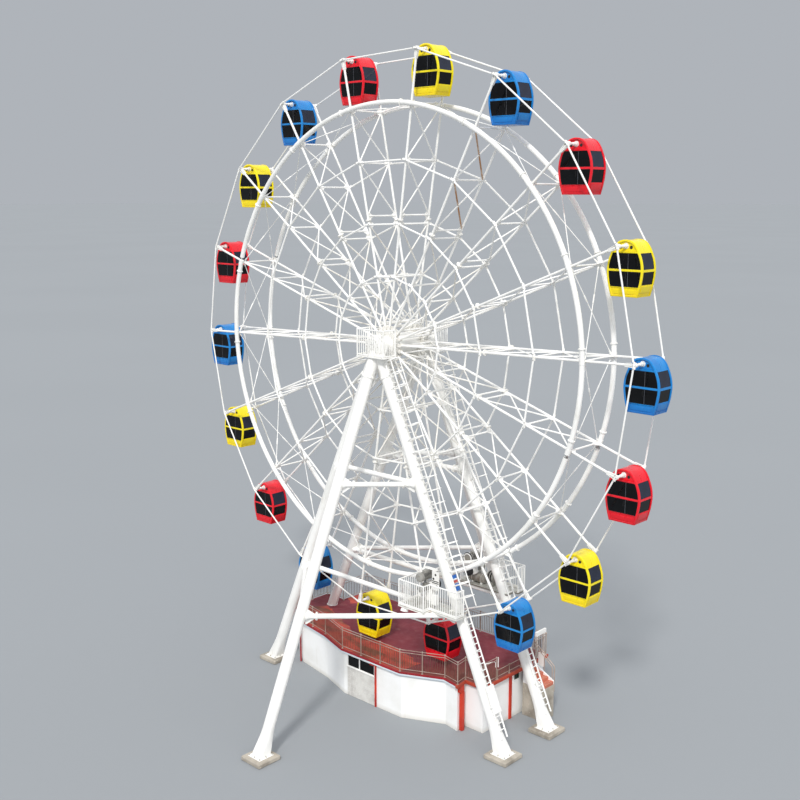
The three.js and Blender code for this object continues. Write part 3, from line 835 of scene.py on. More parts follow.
END_GLASS = (END_Y - 0.032, END_Y - 0.024)
SKIN_COLUMNS = (-END_Y + 0.06, -PANE_REACH, PANE_REACH, END_Y - 0.06)
FRAME_SECTION = [
    (0.0, END_Y - FRAME_DEPTH), (0.0, END_Y - 0.02), (0.006, END_Y - 0.006), (0.02, END_Y),
    (FRAME_WIDTH - 0.014, END_Y), (FRAME_WIDTH, END_Y - 0.014), (FRAME_WIDTH, END_Y - FRAME_DEPTH),
]

# Each bar or panel of an end, from low to high, with its inner and outer face along the axle.
ARCH_LOW = -0.19
SILL_LOW = LOWER_PANE[0] - 0.04
END_BARS = (
    (ARCH_LOW, 0.15, 0.4, 0.435),
    (UPPER_PANE[1], ARCH_LOW, 0.42, END_Y - 0.003),
    (LOWER_PANE[1], UPPER_PANE[0], 0.43, END_Y - 0.003),
    (SILL_LOW, LOWER_PANE[0], 0.42, END_Y - 0.003),
    (-1.84, SILL_LOW, 0.42, END_Y - 0.025),
)
BAR_CHAMFER = 0.008
SKIRT_PLATE = [(-0.43, -1.79), (0.43, -1.79), (0.46, -1.63), (-0.46, -1.63)]

# Each raised panel of a side, from low to high, with its half length, its depth and how proud it stands.
SIDE_PANELS = (
    (-1.87, -1.79, 0.36, 0.03, 0.016),
    (-1.72, -1.49, 0.36, 0.03, 0.02),
    (SIDE_LOWER_PANE[1], UPPER_PANE[0], 0.43, 0.04, 0.01),
)
SKIRT_FACES = (END_Y - 0.03, END_Y - 0.01)
CABIN_FLOOR = ((-0.57, -0.44, -1.9), (0.57, 0.44, -1.85))
FLOOR_BEAMS = (((-0.5, -0.33, -1.9), (0.5, -0.27, -1.86)), ((-0.5, 0.27, -1.9), (0.5, 0.33, -1.86)))
SHAFT_FACE = 0.45
SHAFT_PLATE = [(0.43, 0.112), (0.446, 0.112), (SHAFT_FACE, 0.107), (SHAFT_FACE, 0.06)]
SHAFT_BOLTS = (0.094, 8, 0.018)
BEARING = [(0.44, 0.078), (0.5, 0.082), (0.53, 0.082), (0.54, 0.074), (0.54, 0.05)]
VENT_PLACE = (0.225, -0.045)
VENT_RING = [(0.43, 0.062), (0.446, 0.062), (0.446, 0.048)]
VENT_HOLE_SHADE = [(0.436, 0.05), (0.4365, 0.05)]
GASKET = ((0.0, 0.47), (0.0, 0.482), (0.014, 0.482), (0.014, 0.47))
DOOR_EDGE = (0.13, 0.144, 0.474, 0.481)
GRIP_X = 0.07
GRIP_TUBE = 0.008
DOOR_GRIP = ((0.476, -1.02), (0.51, -1.03), (0.51, -1.21), (0.476, -1.22))
ALUMINIUM, DARK, SEAT, WHITE_PART = 0, 1, 2, 3

# A bench's seat, box and back: inner and outer x, half length, low, high, chamfer and finish.
BENCH = (
    (0.2, 0.52, 0.4, -1.48, -1.4, 0.02, SEAT),
    (0.24, 0.5, 0.38, -1.85, -1.48, 0.0, DARK),
    (0.54, 0.6, 0.4, -1.38, -0.92, 0.02, SEAT),
)
# Each colour with a darker tone, for random patches and for painted shade towards the bottom.
CABIN_COLOURS = {
    "yellow": (srgb(250, 230, 10), srgb(236, 206, 4)),
    "blue": (srgb(14, 134, 208), srgb(6, 100, 180)),
    "red": (srgb(236, 8, 34), srgb(204, 4, 24)),
}
FACING_Y = Matrix.Rotation(math.pi / 2, 4, "X")


def smooth_curve(points, cuts):
    """Extra points on a smooth curve through the given ones, which end on the middle line."""
    padded = [points[0], *points, (-points[-2][0], points[-2][1])]
    curve = []
    for i in range(1, len(padded) - 2):
        a, b, c, d = (Vector(p) for p in padded[i - 1:i + 3])
        for j in range(cuts):
            t = j / cuts
            bend = (2 * a - 5 * b + 4 * c - d) * t * t + (3 * b - a - 3 * c + d) * t ** 3
            curve.append(0.5 * (2 * b + (c - a) * t + bend))
    curve.append(Vector(points[-1]))
    return [(p.x, p.y) for p in curve]


half_curve = smooth_curve(HALF_PROFILE, CURVE_CUTS)
cabin_outline = half_curve[:-1] + [(0.0, half_curve[-1][1])] + [(-x, z) for x, z in half_curve[-2::-1]]


def half_width(z):
    """Half the cabin's width at a height."""
    for (x0, z0), (x1, z1) in zip(half_curve, half_curve[1:]):
        if z0 <= z <= z1:
            return x0 + (x1 - x0) * (z - z0) / (z1 - z0)
    return half_curve[0][0]


def side_levels(low, high, extra=()):
    """The curve's heights between two limits, with the limits themselves."""
    inside = [z for _, z in half_curve if low < z < high]
    return sorted({low, high, *inside, *(z for z in extra if low < z < high)})


def across_profile(low, high, margin):
    """An outline between two heights that keeps a margin from the cabin's sides."""
    right = [(half_width(z) - margin, z) for z in side_levels(low, high)]
    return right + [(-x, z) for x, z in reversed(right)]


def side_loop(hand, rows, depth, reach=PANE_REACH):
    """A loop on a side of the cabin, up one end and down the other, so deep under the skin."""
    up = [(hand * (half_width(z) - SKIN_SET - depth), -reach, z) for z in rows]
    return up + [(x, reach, z) for x, _, z in reversed(up)]


def upright_slab(work, outline, near, far, chamfer=0.0, finish=0):
    """A plate in the wheel's plane, from one place along the axle to another."""
    work.at = FACING_Y
    work.slab(outline, -far, -near, chamfer, finish)
    work.at = Matrix.Identity(4)


def end_frame(work, side):
    """The thick moulded frame round one end of the cabin."""
    loops = [(inset(cabin_outline, draw), side * y) for draw, y in FRAME_SECTION]
    rings = [[(loop[i][0], y, loop[i][1]) for loop, y in loops] for i in range(len(cabin_outline))]
    work.loft(rings, joined=True)


def end_bar(work, side, low, high, inner, outer, chamfer=BAR_CHAMFER, finish=0):
    """A bar from side to side of an end, between two heights and two depths."""
    near, far = sorted((side * inner, side * outer))
    upright_slab(work, across_profile(low, high, FRAME_WIDTH - 0.004), near, far, chamfer, finish)


def cabin_skin(work):
    """Roof and side walls between the end frames, with two window openings on each side."""
    levels = side_levels(half_curve[0][1], half_curve[-1][1], (*SIDE_LOWER_PANE, *UPPER_PANE))
    right = []
    for z in levels:
        x = half_width(z)
        drop = 0.0 if x > ROOF_BLEND else SKIN_SET * (1 - x / ROOF_BLEND)
        right.append((max(x - SKIN_SET, 0.0), z - drop))
    path = right + [(-x, z) for x, z in right[-2::-1]]
    marks = levels + levels[-2::-1]
    wide = len(SKIN_COLUMNS)
    faces = []
    for i in range(len(path) - 1):
        low, high = sorted((marks[i], marks[i + 1]))
        open_here = any(a <= low and high <= b for a, b in SIDE_PANES)
        for j in range(wide - 1):
            if not (open_here and j == 1):
                k = i * wide + j
                faces.append([k, k + 1, k + wide + 1, k + wide])
    work.add([(x, y, z) for x, z in path for y in SKIN_COLUMNS], faces)
    for hand in (-1, 1):
        for low, high in SIDE_PANES:
            rows = side_levels(low, high)
            work.loft([side_loop(hand, rows, depth) for depth in (0.0, REVEAL_DEPTH)], capped=False)


def cabin_shell():
    work = Work()
    cabin_skin(work)
    for side in (-1, 1):
        end_frame(work, side)
        for low, high, inner, outer in END_BARS:
            end_bar(work, side, low, high, inner, outer)
        near, far = sorted(side * y for y in SKIRT_FACES)
        upright_slab(work, SKIRT_PLATE, near, far, 0.006)
    for hand in (-1, 1):
        for low, high, reach, deep, proud in SIDE_PANELS:
            rows = side_levels(low, high)
            work.loft([side_loop(hand, rows, depth, reach) for depth in (deep, -proud)])
    work.block(*CABIN_FLOOR, 0.01)
    for low, high in FLOOR_BEAMS:
        work.block(low, high, 0.008)
    return work


def cabin_panes():
    work = Work()
    for side in (-1, 1):
        for low, high in END_PANES:
            end_bar(work, side, low - 0.01, high + 0.01, *END_GLASS, 0.0)
        # The lower side panes take the tinted glass, the upper ones the painted sky reflection.
        for pane, (low, high) in enumerate(SIDE_PANES):
            rows = side_levels(low, high)
            work.loft([side_loop(side, rows, depth) for depth in SIDE_GLASS], pane)
    return work


def window_gasket(work, side, low, high):
    """A dark rubber seal round a window of an end."""
    loops = []
    for draw, depth in GASKET:
        outline = inset(across_profile(low, high, FRAME_WIDTH), draw)
        loops.append([(x, side * depth, z) for x, z in outline])
    work.loft([[loop[i] for loop in loops] for i in range(len(loops[0]))], DARK, joined=True)


def cabin_fittings():
    """Bearings, vents, door edges with a grip, window seals and benches."""
    work = Work()
    centre = Vector((0, 0, 0))
    left, right, inner, outer = DOOR_EDGE
    for side in (-1, 1):
        out = Vector((0, side, 0))
        turned(work, centre, out, SHAFT_PLATE, 28, WHITE_PART)
        bolts(work, out * SHAFT_FACE, out, *SHAFT_BOLTS, ALUMINIUM)
        turned(work, centre, out, BEARING, 28, WHITE_PART)
        for hand in (-1, 1):
            vent = Vector((hand * VENT_PLACE[0], 0, VENT_PLACE[1]))
            turned(work, vent, out, VENT_RING, 20, DARK)
            # A thin dark disc stands for the vent's opening: painted shade.
            turned(work, vent, out, VENT_HOLE_SHADE, 20, DARK)
        near, far = sorted((side * inner, side * outer))
        for low, high in END_PANES:
            work.block((left, near, low), (right, far, high), 0, SEAT)
            window_gasket(work, side, low, high)
        bent_pipe(work, [Vector((GRIP_X, side * y, z)) for y, z in DOOR_GRIP], GRIP_TUBE, 8, DARK)
    for hand in (-1, 1):
        for inside, outside, reach, low, high, chamfer, finish in BENCH:
            x0, x1 = sorted((hand * inside, hand * outside))
            work.block((x0, -reach, low), (x1, reach, high), chamfer, finish)
    return work


def cabin_paint(name, colour, shade):
    paint = Finish(name, colour, 0.3)
    paint.patches(shade, 1.6, 5, (0.42, 0.72), 0.6, stretch=(1, 1, 0.5))
    # The paint darkens towards the bottom of the skirt: painted shade under the cabin.
    paint.fade(shade, "Z", (-1.5, -1.8), 0.7)
    paint.patches(srgb(196, 188, 172), 6.5, 6, (0.68, 0.8), 0.1, stretch=(1, 1, 0.25))
    paint.gloss(5.0, 0.22, 0.42)
    paint.grain(9.0, 2, 0.05, 0.004)
    paint.set(coat_weight=0.3, coat_roughness=0.12)
    return paint.material


tinted_glass = Finish("tinted_glass", srgb(8, 9, 11), 0.06)
tinted_glass.patches(srgb(24, 25, 28), 1.1, 2, (0.4, 0.7), 0.5)
tinted_glass.gloss(4.0, 0.035, 0.12, between=(0.35, 0.65))
tinted_glass.set(alpha=0.98, specular_ior_level=0.2)

# The upper side panes are blue grey: a painted reflection of the sky on the dark glass.
glass_painted_sky = Finish("side_glass_painted_sky_reflection", srgb(36, 42, 60), 0.06)
glass_painted_sky.patches(srgb(26, 30, 42), 1.4, 2, (0.4, 0.7), 0.7)
glass_painted_sky.gloss(4.0, 0.035, 0.12, between=(0.35, 0.65))
glass_painted_sky.set(alpha=0.98, specular_ior_level=0.35)

aluminium = Finish("brushed_aluminium", srgb(176, 178, 180), 0.35, 0.8)
aluminium.patches(srgb(140, 141, 143), 30.0, 3, (0.4, 0.6), 0.6, stretch=(1, 1, 0.05))
aluminium.gloss(14.0, 0.28, 0.5)

dark_rubber = Finish("dark_rubber", srgb(26, 26, 28), 0.75)
dark_rubber.patches(srgb(44, 43, 42), 7.0, 4, (0.45, 0.7), 0.7)
dark_rubber.gloss(9.0, 0.62, 0.85)
dark_rubber.grain(60.0, 2, 0.25, 0.002)

seat_plastic = Finish("moulded_seat", srgb(92, 94, 100), 0.5)
seat_plastic.patches(srgb(70, 71, 76), 4.0, 4, (0.4, 0.7))
seat_plastic.gloss(12.0, 0.4, 0.6)
seat_plastic.grain(120.0, 2, 0.2, 0.001)

FITTINGS = [aluminium.material, dark_rubber.material, seat_plastic.material, white_paint.material]
shell_work = cabin_shell()
pane_mesh = cabin_panes().mesh("cabin_panes", [tinted_glass.material, glass_painted_sky.material])
fitting_mesh = cabin_fittings().mesh("cabin_fittings", FITTINGS)
shells = []
for colour_name, (colour, shade) in CABIN_COLOURS.items():
    paint = cabin_paint(f"cabin_{colour_name}_paint", colour, shade)
    shells.append((colour_name, shell_work.mesh(f"cabin_shell_{colour_name}", [paint])))
for i, (name, pivot) in enumerate(zip(CABIN_NAMES, pivots)):
    at = Matrix.Translation(pivot)
    colour_name, shell_mesh = shells[i % len(shells)]
    place(shell_mesh, f"{name}_shell", f"{name}_body", [name], at)
    place(pane_mesh, f"{name}_panes", f"{name}_body", at=at)
    place(fitting_mesh, f"{name}_fittings", f"{name}_body", at=at)

# Small railed floors round the bearing heads, for greasing and inspection: a steel plate with closely
# set upright bars under a handrail, all painted white and welded together.
BAR_PITCH = 0.13
BAR_RADIUS = 0.017
HANDRAIL_TUBE = 0.032
FOOT_RAIL_TUBE = 0.022
FOOT_RAIL_LIFT = 0.07
RAIL_POST = 0.034
HUB_FLOOR = hub.z - 0.43
HUB_FLOOR_THICK = 0.03
HUB_LEFT, HUB_RIGHT = -0.74, 0.95
HUB_NEAR, HUB_FAR = 1.34, 2.18
HUB_RAIL_HEIGHT = 1.2
RAIL_EDGE = 0.04


def barred_rail(work, path, floor, height):
    """A handrail on posts, with upright bars between it and a bottom rail."""
    top = floor + height
    foot = floor + FOOT_RAIL_LIFT
    corners = [Vector((x, y, 0)) for x, y in path]
    for level, radius in ((top, HANDRAIL_TUBE), (foot, FOOT_RAIL_TUBE)):
        bent_pipe(work, [corner + Vector((0, 0, level)) for corner in corners], radius, 10)
    for first, last in zip(corners, corners[1:]):
        run = last - first
        count = max(1, round(run.length / BAR_PITCH))
        for i in range(1, count):
            spot = first + run * i / count
            pipe(work, spot + Vector((0, 0, foot)), spot + Vector((0, 0, top)), BAR_RADIUS, 6)
    for corner in corners:
        pipe(work, corner + Vector((0, 0, floor)), corner + Vector((0, 0, top + 0.01)), RAIL_POST, 10)


for face, side in SIDES:
    platform = Work()
    low_y, high_y = sorted((side * HUB_NEAR, side * HUB_FAR))
    plate_low = (HUB_LEFT, low_y, HUB_FLOOR - HUB_FLOOR_THICK)
    platform.block(plate_low, (HUB_RIGHT, high_y, HUB_FLOOR), 0.004)
    left, right = HUB_LEFT + RAIL_EDGE, HUB_RIGHT - RAIL_EDGE
    near, far = side * (HUB_NEAR + RAIL_EDGE), side * (HUB_FAR - RAIL_EDGE)
    rail = [(left, near), (left, far), (right, far), (right, near)]
    barred_rail(platform, rail, HUB_FLOOR, HUB_RAIL_HEIGHT)
    name = f"{face}_hub_platform"
    place(platform.mesh(name, STEEL), name, "supports_and_deck")

# Ladders of steel tube on the outer side of the two right legs, from just above the ground to the hub.
# Hoops and long bars cage the climber above the drive platforms, and a screwed plate closes a length of
# the front one at its foot.
LADDER_OFF = 0.37
LADDER_HALF = 0.19
LADDER_DROPS = (0.75, 16.35)
STILE_TUBE = 0.036
RUNG_TUBE = 0.024
RUNG_PITCH = 0.29
STAND_TUBE = 0.018
STAND_ROOT = 0.12
STAND_FIRST, STAND_PITCH = 1.9, 2.2
CAGE_REACH = 0.72
CAGE_HALF = 0.28
CAGE_DROPS = (0.8, 11.1)
HOOP_TUBE = 0.025
HOOP_PITCH = 0.6
HALF_HOOP = [(-LADDER_HALF, 0.0), (-CAGE_HALF, 0.12), (-CAGE_HALF, 0.45), (-0.17, 0.64), (0, CAGE_REACH)]
HOOP = HALF_HOOP + [(-y, reach) for y, reach in HALF_HOOP[-2::-1]]
CAGE_BARS = (HOOP[2], HOOP[4], HOOP[6])
CLOSING_PLATE = ((14.25, -0.27), (15.35, -0.27), (15.35, 0.27), (14.25, 0.27))
PLATE_FACES = (0.04, 0.055)
PLATE_SCREWS = [(drop, y) for drop in (14.5, 15.1) for y in (-0.24, 0.24)]
SCREW_HEAD = 0.012
SCREW_RADIUS = 0.014
DROP_LENGTH = math.hypot(1, LEG_SLOPE)

down = Vector((LEG_SLOPE, 0, -1)).normalized()
outward = Vector((-down.z, 0, down.x))


def ladder_point(side, drop, sideways=0.0, away=0.0):
    """A point beside a right leg, so far below the hub, sideways and away from the ladder's rungs."""
    return leg_point(drop, side, 1) + outward * (LADDER_OFF + away) + Vector((0, sideways, 0))


for face, side in SIDES:
    ladder = Work()
    top_drop, end_drop = LADDER_DROPS
    for hand in (-1, 1):
        ends = [ladder_point(side, drop, hand * LADDER_HALF) for drop in LADDER_DROPS]
        pipe(ladder, *ends, STILE_TUBE, 12)
        drop = STAND_FIRST
        while drop < end_drop:
            foot = leg_point(drop, side, 1) + Vector((0, hand * STAND_ROOT, 0))
            pipe(ladder, foot, ladder_point(side, drop, hand * LADDER_HALF), STAND_TUBE, 8)
            drop += STAND_PITCH
    rung_step = RUNG_PITCH / DROP_LENGTH
    for i in range(int((end_drop - top_drop) / rung_step)):
        drop = top_drop + (i + 0.5) * rung_step
        ends = [ladder_point(side, drop, y) for y in (-LADDER_HALF, LADDER_HALF)]
        pipe(ladder, *ends, RUNG_TUBE, 8)
    drop = CAGE_DROPS[0]
    while drop <= CAGE_DROPS[1] + 0.01:
        bent_pipe(ladder, [ladder_point(side, drop, y, reach) for y, reach in HOOP], HOOP_TUBE, 8)
        drop += HOOP_PITCH / DROP_LENGTH
    for y, reach in CAGE_BARS:
        pipe(ladder, *(ladder_point(side, drop, y, reach) for drop in CAGE_DROPS), RUNG_TUBE, 8)
    if side < 0:
        plate = [[ladder_point(side, drop, y, away) for drop, y in CLOSING_PLATE] for away in PLATE_FACES]
        ladder.loft(plate)
        for drop, y in PLATE_SCREWS:
            spot = ladder_point(side, drop, y, PLATE_FACES[1])
            pipe(ladder, spot, spot + outward * SCREW_HEAD, SCREW_RADIUS, 6, BOLT)
    place(ladder.mesh(f"{face}_ladder", STEEL), f"{face}_ladder", "supports_and_deck")

# Drive platforms on the lower beams: a tread-plate floor on channels, closed in by white bars and a toe
# board, with a lamp under the front one and an opening where the ladder comes up.
DRIVE_FLOOR = hub.z - BEAM_DROPS[1] + BEAM_TUBE + 0.0006
PLATE_LIFT = 0.06
FLOOR_THICK = 0.08
PLATFORM_RAIL = 1.16
TOE_BOARD = 0.12
TOE_HALF = 0.004
DRIVE_OUTLINE = [
    (2.45, 1.4), (2.45, 2.85), (3.97, 2.85), (3.97, 2.45), (5.5, 2.45), (5.5, 1.9),
    (5.26, 1.9), (5.26, 1.4),
]
DRIVE_RAIL = [(2.49, 1.44), (2.49, 2.81), (3.93, 2.81), (3.93, 2.41), (5.46, 2.41), (5.46, 1.94)]
LAMP_AT = (2.75, -2.7, DRIVE_FLOOR - 0.02)
LAMP_AIM = (0, -0.3, -1)
LAMP = [(0, 0.04), (0.03, 0.05), (0.05, 0.15), (0.17, 0.18), (0.18, 0.175), (0.18, 0.16)]

tread_plate = Finish("painted_tread_plate", srgb(196, 196, 190), 0.55, 0.2)
tread_plate.patches(srgb(150, 146, 136), 1.8, 6, (0.45, 0.7))
tread_plate.patches(srgb(136, 92, 60), 3.4, 7, (0.62, 0.72), 0.7)
tread_plate.gloss(6.0, 0.4, 0.75)
tread_plate.grain(46.0, 1, 0.6, 0.006, stretch=(1, 1, 0.2))

stained_steel = Finish("stained_tank_steel", srgb(150, 146, 138), 0.5, 0.2)
stained_steel.patches(srgb(118, 110, 98), 1.8, 6, (0.42, 0.62), 0.9)
stained_steel.patches(srgb(108, 80, 60), 4.5, 6, (0.58, 0.72), 0.7, stretch=(1, 1, 0.4))
stained_steel.gloss(6.0, 0.4, 0.7)
stained_steel.grain(26.0, 4, 0.25, 0.003)

FLOOR_STEEL = STEEL + [tread_plate.material, stained_steel.material]
TREAD_PLATE, STAINED = 3, 4
floor_top = DRIVE_FLOOR + FLOOR_THICK
for face, side in SIDES:
    platform = Work()
    outline = [(x, side * y) for x, y in DRIVE_OUTLINE]
    outline = outline[::-1] if side > 0 else outline
    platform.slab(outline, DRIVE_FLOOR + PLATE_LIFT, floor_top, 0.002, TREAD_PLATE)
    channels = WORN if side < 0 else STAINED
    platform.slab(inset(outline, 0.01), DRIVE_FLOOR, DRIVE_FLOOR + PLATE_LIFT, 0.0, channels)
    rail = [(x, side * y) for x, y in DRIVE_RAIL]
    barred_rail(platform, rail, floor_top, PLATFORM_RAIL)
    rise = UP * TOE_BOARD
    for start, end in zip(rail, rail[1:]):
        first, last = Vector((*start, floor_top)), Vector((*end, floor_top))
        flat = (last - first).cross(UP).normalized() * TOE_HALF
        board = (first, last, last + rise, first + rise)
        platform.loft([[corner + flat for corner in board], [corner - flat for corner in board]])
    if side < 0:
        turned(platform, Vector(LAMP_AT), Vector(LAMP_AIM), LAMP, 24)
    name = f"{face}_drive_floor"
    solids = [f"{face}_drive_platform"]
    place(platform.mesh(name, FLOOR_STEEL), name, "supports_and_deck", solids)

# Drive units: a geared motor turns the tyre that presses on the rim. The front one carries a second
# motor on a sprung frame, the back one a raised gear case, a fan, a tank and a drum with its hoses.
# Housings are cast and painted, and the motors have cooling ribs.
DRIVE_X = 3.2
TYRE_HALF = 0.08
GEAR_HALF = 0.17
GEAR_Y = (1.32, 1.64)
GEAR_UP = 0.19
GEAR_LIFTS = {"front": 0.0, "back": 0.48}
GEAR_FACE = 1.3
GEAR_BOSS = [(GEAR_FACE - 0.01, 0.1), (GEAR_FACE, 0.14), (GEAR_FACE + 0.03, 0.14)]
GEAR_BOLTS = (0.118, 8, 0.022)

# A motor's radius, the place of its front along the axle and its length.
LOWER_MOTOR = (0.155, 1.62, 0.6)
UPPER_MOTORS = {"front": (0.2, 1.5, 0.8), "back": (0.2, 1.5, 0.6)}
UPPER_PLACES = {"front": (0.0, 0.0, 0.55), "back": (-0.25, 0.0, 0.48)}
MOTOR_RIBS = 30
RIB_HALF = 0.005
TERMINAL_BOX = (0.09, 0.07)

# The sprung frame's plates from corner to corner, seen from the tyre's centre, with their chamfers.
CAP_TOP = 0.79
SPRUNG_PLATES = (
    ((-0.18, -1.52, 0.35), (0.18, -1.33, 0.75), 0.03),
    ((-0.36, -1.6, CAP_TOP - 0.03), (0.42, -1.36, CAP_TOP), 0.006),
    ((0.2, -1.66, -0.1), (0.62, -1.62, 0.77), 0.01),
)
SPRING_PLACES = (-0.3, 0.36)
SPRING_POST_HALF = 0.03
SPRING_POST_Y = (-1.44, -1.36)
SPRING_STEPS = 96
SPRING_TURNS = 8
SPRING_LENGTH = 0.32
SPRING_LIFT = 0.1
SPRING_RADIUS = 0.04
SPRING_WIRE = 0.009
SPRING_Y = -1.55
SPRING_ROD = 0.012
ROD_LENGTH = 0.6
HOLE_FACE = -1.66
# Thin dark discs and blocks on the plate that stand for its holes and slots: painted shade.
HOLE_SHADE = [(0, 0.05), (0.004, 0.05)]
HOLE_SHADE_PLACES = ((0.3, 0.42), (0.5, 0.1), (0.42, 0.62))
SLOT_SHADES = (
    ((0.22, -1.668, 0.22), (0.6, -1.655, 0.255)),
    ((0.22, -1.668, 0.3), (0.6, -1.655, 0.335)),
)
STAND_HALF = 0.08
STAND_Y = (2.0, 2.12)
FAN_FACE = 1.36
FAN_COVER = [(0, 0.2), (0.03, 0.21), (0.16, 0.19)]
FAN_RING = (0.0, 0.212, 0.026)
FAN_SEAL = (0.03, 0.252, 0.024)
CABINET_AT = (4.1, 2.25)
CABINET = (
    ((-0.17, -0.09, 0.25), (0.17, 0.06, 0.7), 0.012),
    ((-0.14, -0.05, 0.0), (-0.1, 0.02, 0.25), 0.0),
    ((0.1, -0.05, 0.0), (0.14, 0.02, 0.25), 0.0),
)
TANK_AT = (2.82, 1.75, 0.24)
TANK = [
    (0, 0.06), (0.02, 0.13), (0.07, 0.19), (0.14, 0.22),
    (0.86, 0.22), (0.93, 0.19), (0.98, 0.13), (1.0, 0.06),
]
TANK_STRAPS = (0.24, 0.76)
TANK_FOOT = (0.04, 0.17, 0.08)
STRAP = ((-0.025, 0.222), (-0.02, 0.228), (0.02, 0.228), (0.025, 0.222))
DRUM_AT = (3.9, 1.8, 0.46)
DRUM_RIBS = 5
DRUM_PITCH = 0.07
DRUM_RIB = ((0.0, 0.19), (0.015, 0.25), (0.05, 0.25), (DRUM_PITCH, 0.19))
DRUM_STAND = ((3.95, 1.7), (4.2, 1.9))
DRUM_STAND_HEIGHT = 0.25
HOSES = (
    ((4.24, 1.8, 0.55), (4.36, 1.8, 0.3), (4.44, 1.85, 0.14), (4.5, 1.95, 0.02)),
    ((4.24, 1.89, 0.55), (4.36, 1.89, 0.42), (4.44, 1.85, 0.26), (4.5, 1.95, 0.02)),
)
HOSE_TUBE = 0.03
tyre_low, tyre_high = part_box("front_drive_tyre")
tyre_z = (tyre_low.z + tyre_high.z) / 2

motor_grey = Finish("motor_enamel", srgb(168, 166, 160), 0.45, 0.1)
motor_grey.patches(srgb(128, 126, 120), 2.2, 5, (0.42, 0.7))
motor_grey.patches(srgb(124, 98, 78), 7.0, 6, (0.66, 0.76), 0.6)
motor_grey.gloss(8.0, 0.32, 0.6)
motor_grey.grain(40.0, 3, 0.2, 0.002)

board_blue = Finish("blue_board", srgb(42, 104, 190), 0.4)
board_blue.patches(srgb(80, 136, 206), 3.0, 4, (0.4, 0.7))
board_blue.gloss(9.0, 0.3, 0.5)

board_red = Finish("red_board", srgb(186, 74, 70), 0.4)
board_red.patches(srgb(206, 110, 100), 3.0, 4, (0.4, 0.7))
board_red.gloss(9.0, 0.3, 0.5)

DRIVE_FINISHES = STEEL + [
    motor_grey.material, dark_rubber.material, board_blue.material, board_red.material,
    stained_steel.material,
]
# Dark rubber serves for springs, seals and hoses, and as painted shade in gaps and holes.
MOTOR, DARK_RUBBER_AND_SHADE, BOARD, RED_BOARD, STAINED_PART = 3, 4, 5, 6, 7

# The small boards on the front leg: drop below the hub, length down the leg, and colour.
BOARDS = ((9.74, 0.14, BOARD), (9.95, 0.09, RED_BOARD), (10.09, 0.06, BOARD), (10.2, 0.17, BOARD))
BOARD_HALF = 0.15
BOARD_SET = -0.04
BOARD_THICK = 0.012


def ribbed_motor(work, centre, out, radius, start, length):
    """A motor with cooling ribs over a dark barrel as painted shade, a fan cover and a terminal box."""
    end = start + length
    barrel = [(start + 0.01, radius * 0.78), (start + length * 0.95, radius * 0.78)]
    cover = [(start + length * 0.78, radius), (start + length * 0.97, radius), (end, radius * 0.85)]
    shoulder = [(start, radius), (start + 0.04, radius), (start + 0.05, radius * 0.85)]
    # The barrel between the ribs takes dark rubber: painted shade in the gaps.
    turned(work, centre, out, barrel, 28, DARK_RUBBER_AND_SHADE)
    turned(work, centre, out, cover, 28, MOTOR)
    turned(work, centre, out, shoulder, 28, MOTOR)
    near = centre + out * (start + 0.04)
    far = centre + out * (start + length * 0.8)
    for i in range(MOTOR_RIBS):
        angle = 2 * math.pi * i / MOTOR_RIBS
        way = Vector((math.cos(angle), 0, math.sin(angle)))
        flat = way.cross(out) * RIB_HALF
        inner, outer = way * radius * 0.75, way * radius * 0.97
        rib = (near + inner, far + inner, far + outer, near + outer)
        work.loft([[c + flat for c in rib], [c - flat for c in rib]], MOTOR)
    box_half, box_height = TERMINAL_BOX
    low = centre + out * (start + length * 0.25) + Vector((-box_half, 0, radius * 0.7))
    high = centre + out * (start + length * 0.6) + Vector((box_half, 0, radius + box_height))
    y0, y1 = sorted((low.y, high.y))
    work.block((low.x, y0, low.z), (high.x, y1, high.z), 0.012, MOTOR)


def sprung_frame(work, axis, out):
    """The frame round the front unit's upper motor, with two coil springs on rods, and dark discs and slots
    on its plate as painted shade for holes.
    """
    for low, high, chamfer in SPRUNG_PLATES:
        work.block(axis + Vector(low), axis + Vector(high), chamfer)
    post_top = axis.z + CAP_TOP
    near, far = SPRING_POST_Y
    for x in SPRING_PLACES:
        post = axis.x + x
        low = (post - SPRING_POST_HALF, near, floor_top)
        work.block(low, (post + SPRING_POST_HALF, far, post_top), 0.006)
        coil = []
        for i in range(SPRING_STEPS + 1):
            share = i / SPRING_STEPS
            turn = share * SPRING_TURNS * 2 * math.pi
            spot = Vector((math.cos(turn), math.sin(turn), 0)) * SPRING_RADIUS
            coil.append(spot + Vector((post, SPRING_Y, axis.z + SPRING_LIFT + SPRING_LENGTH * share)))
        bent_pipe(work, coil, SPRING_WIRE, 8, DARK_RUBBER_AND_SHADE)
        rod = Vector((post, SPRING_Y, axis.z))
        pipe(work, rod, rod + UP * ROD_LENGTH, SPRING_ROD, 8, BOLT)
    # Dark discs and blocks stand for holes and slots in the plate: painted shade.
    for x, z in HOLE_SHADE_PLACES:
        turned(work, axis + Vector((x, HOLE_FACE, z)), out, HOLE_SHADE, 20, DARK_RUBBER_AND_SHADE)
    for low, high in SLOT_SHADES:
        work.block(axis + Vector(low), axis + Vector(high), 0.0, DARK_RUBBER_AND_SHADE)


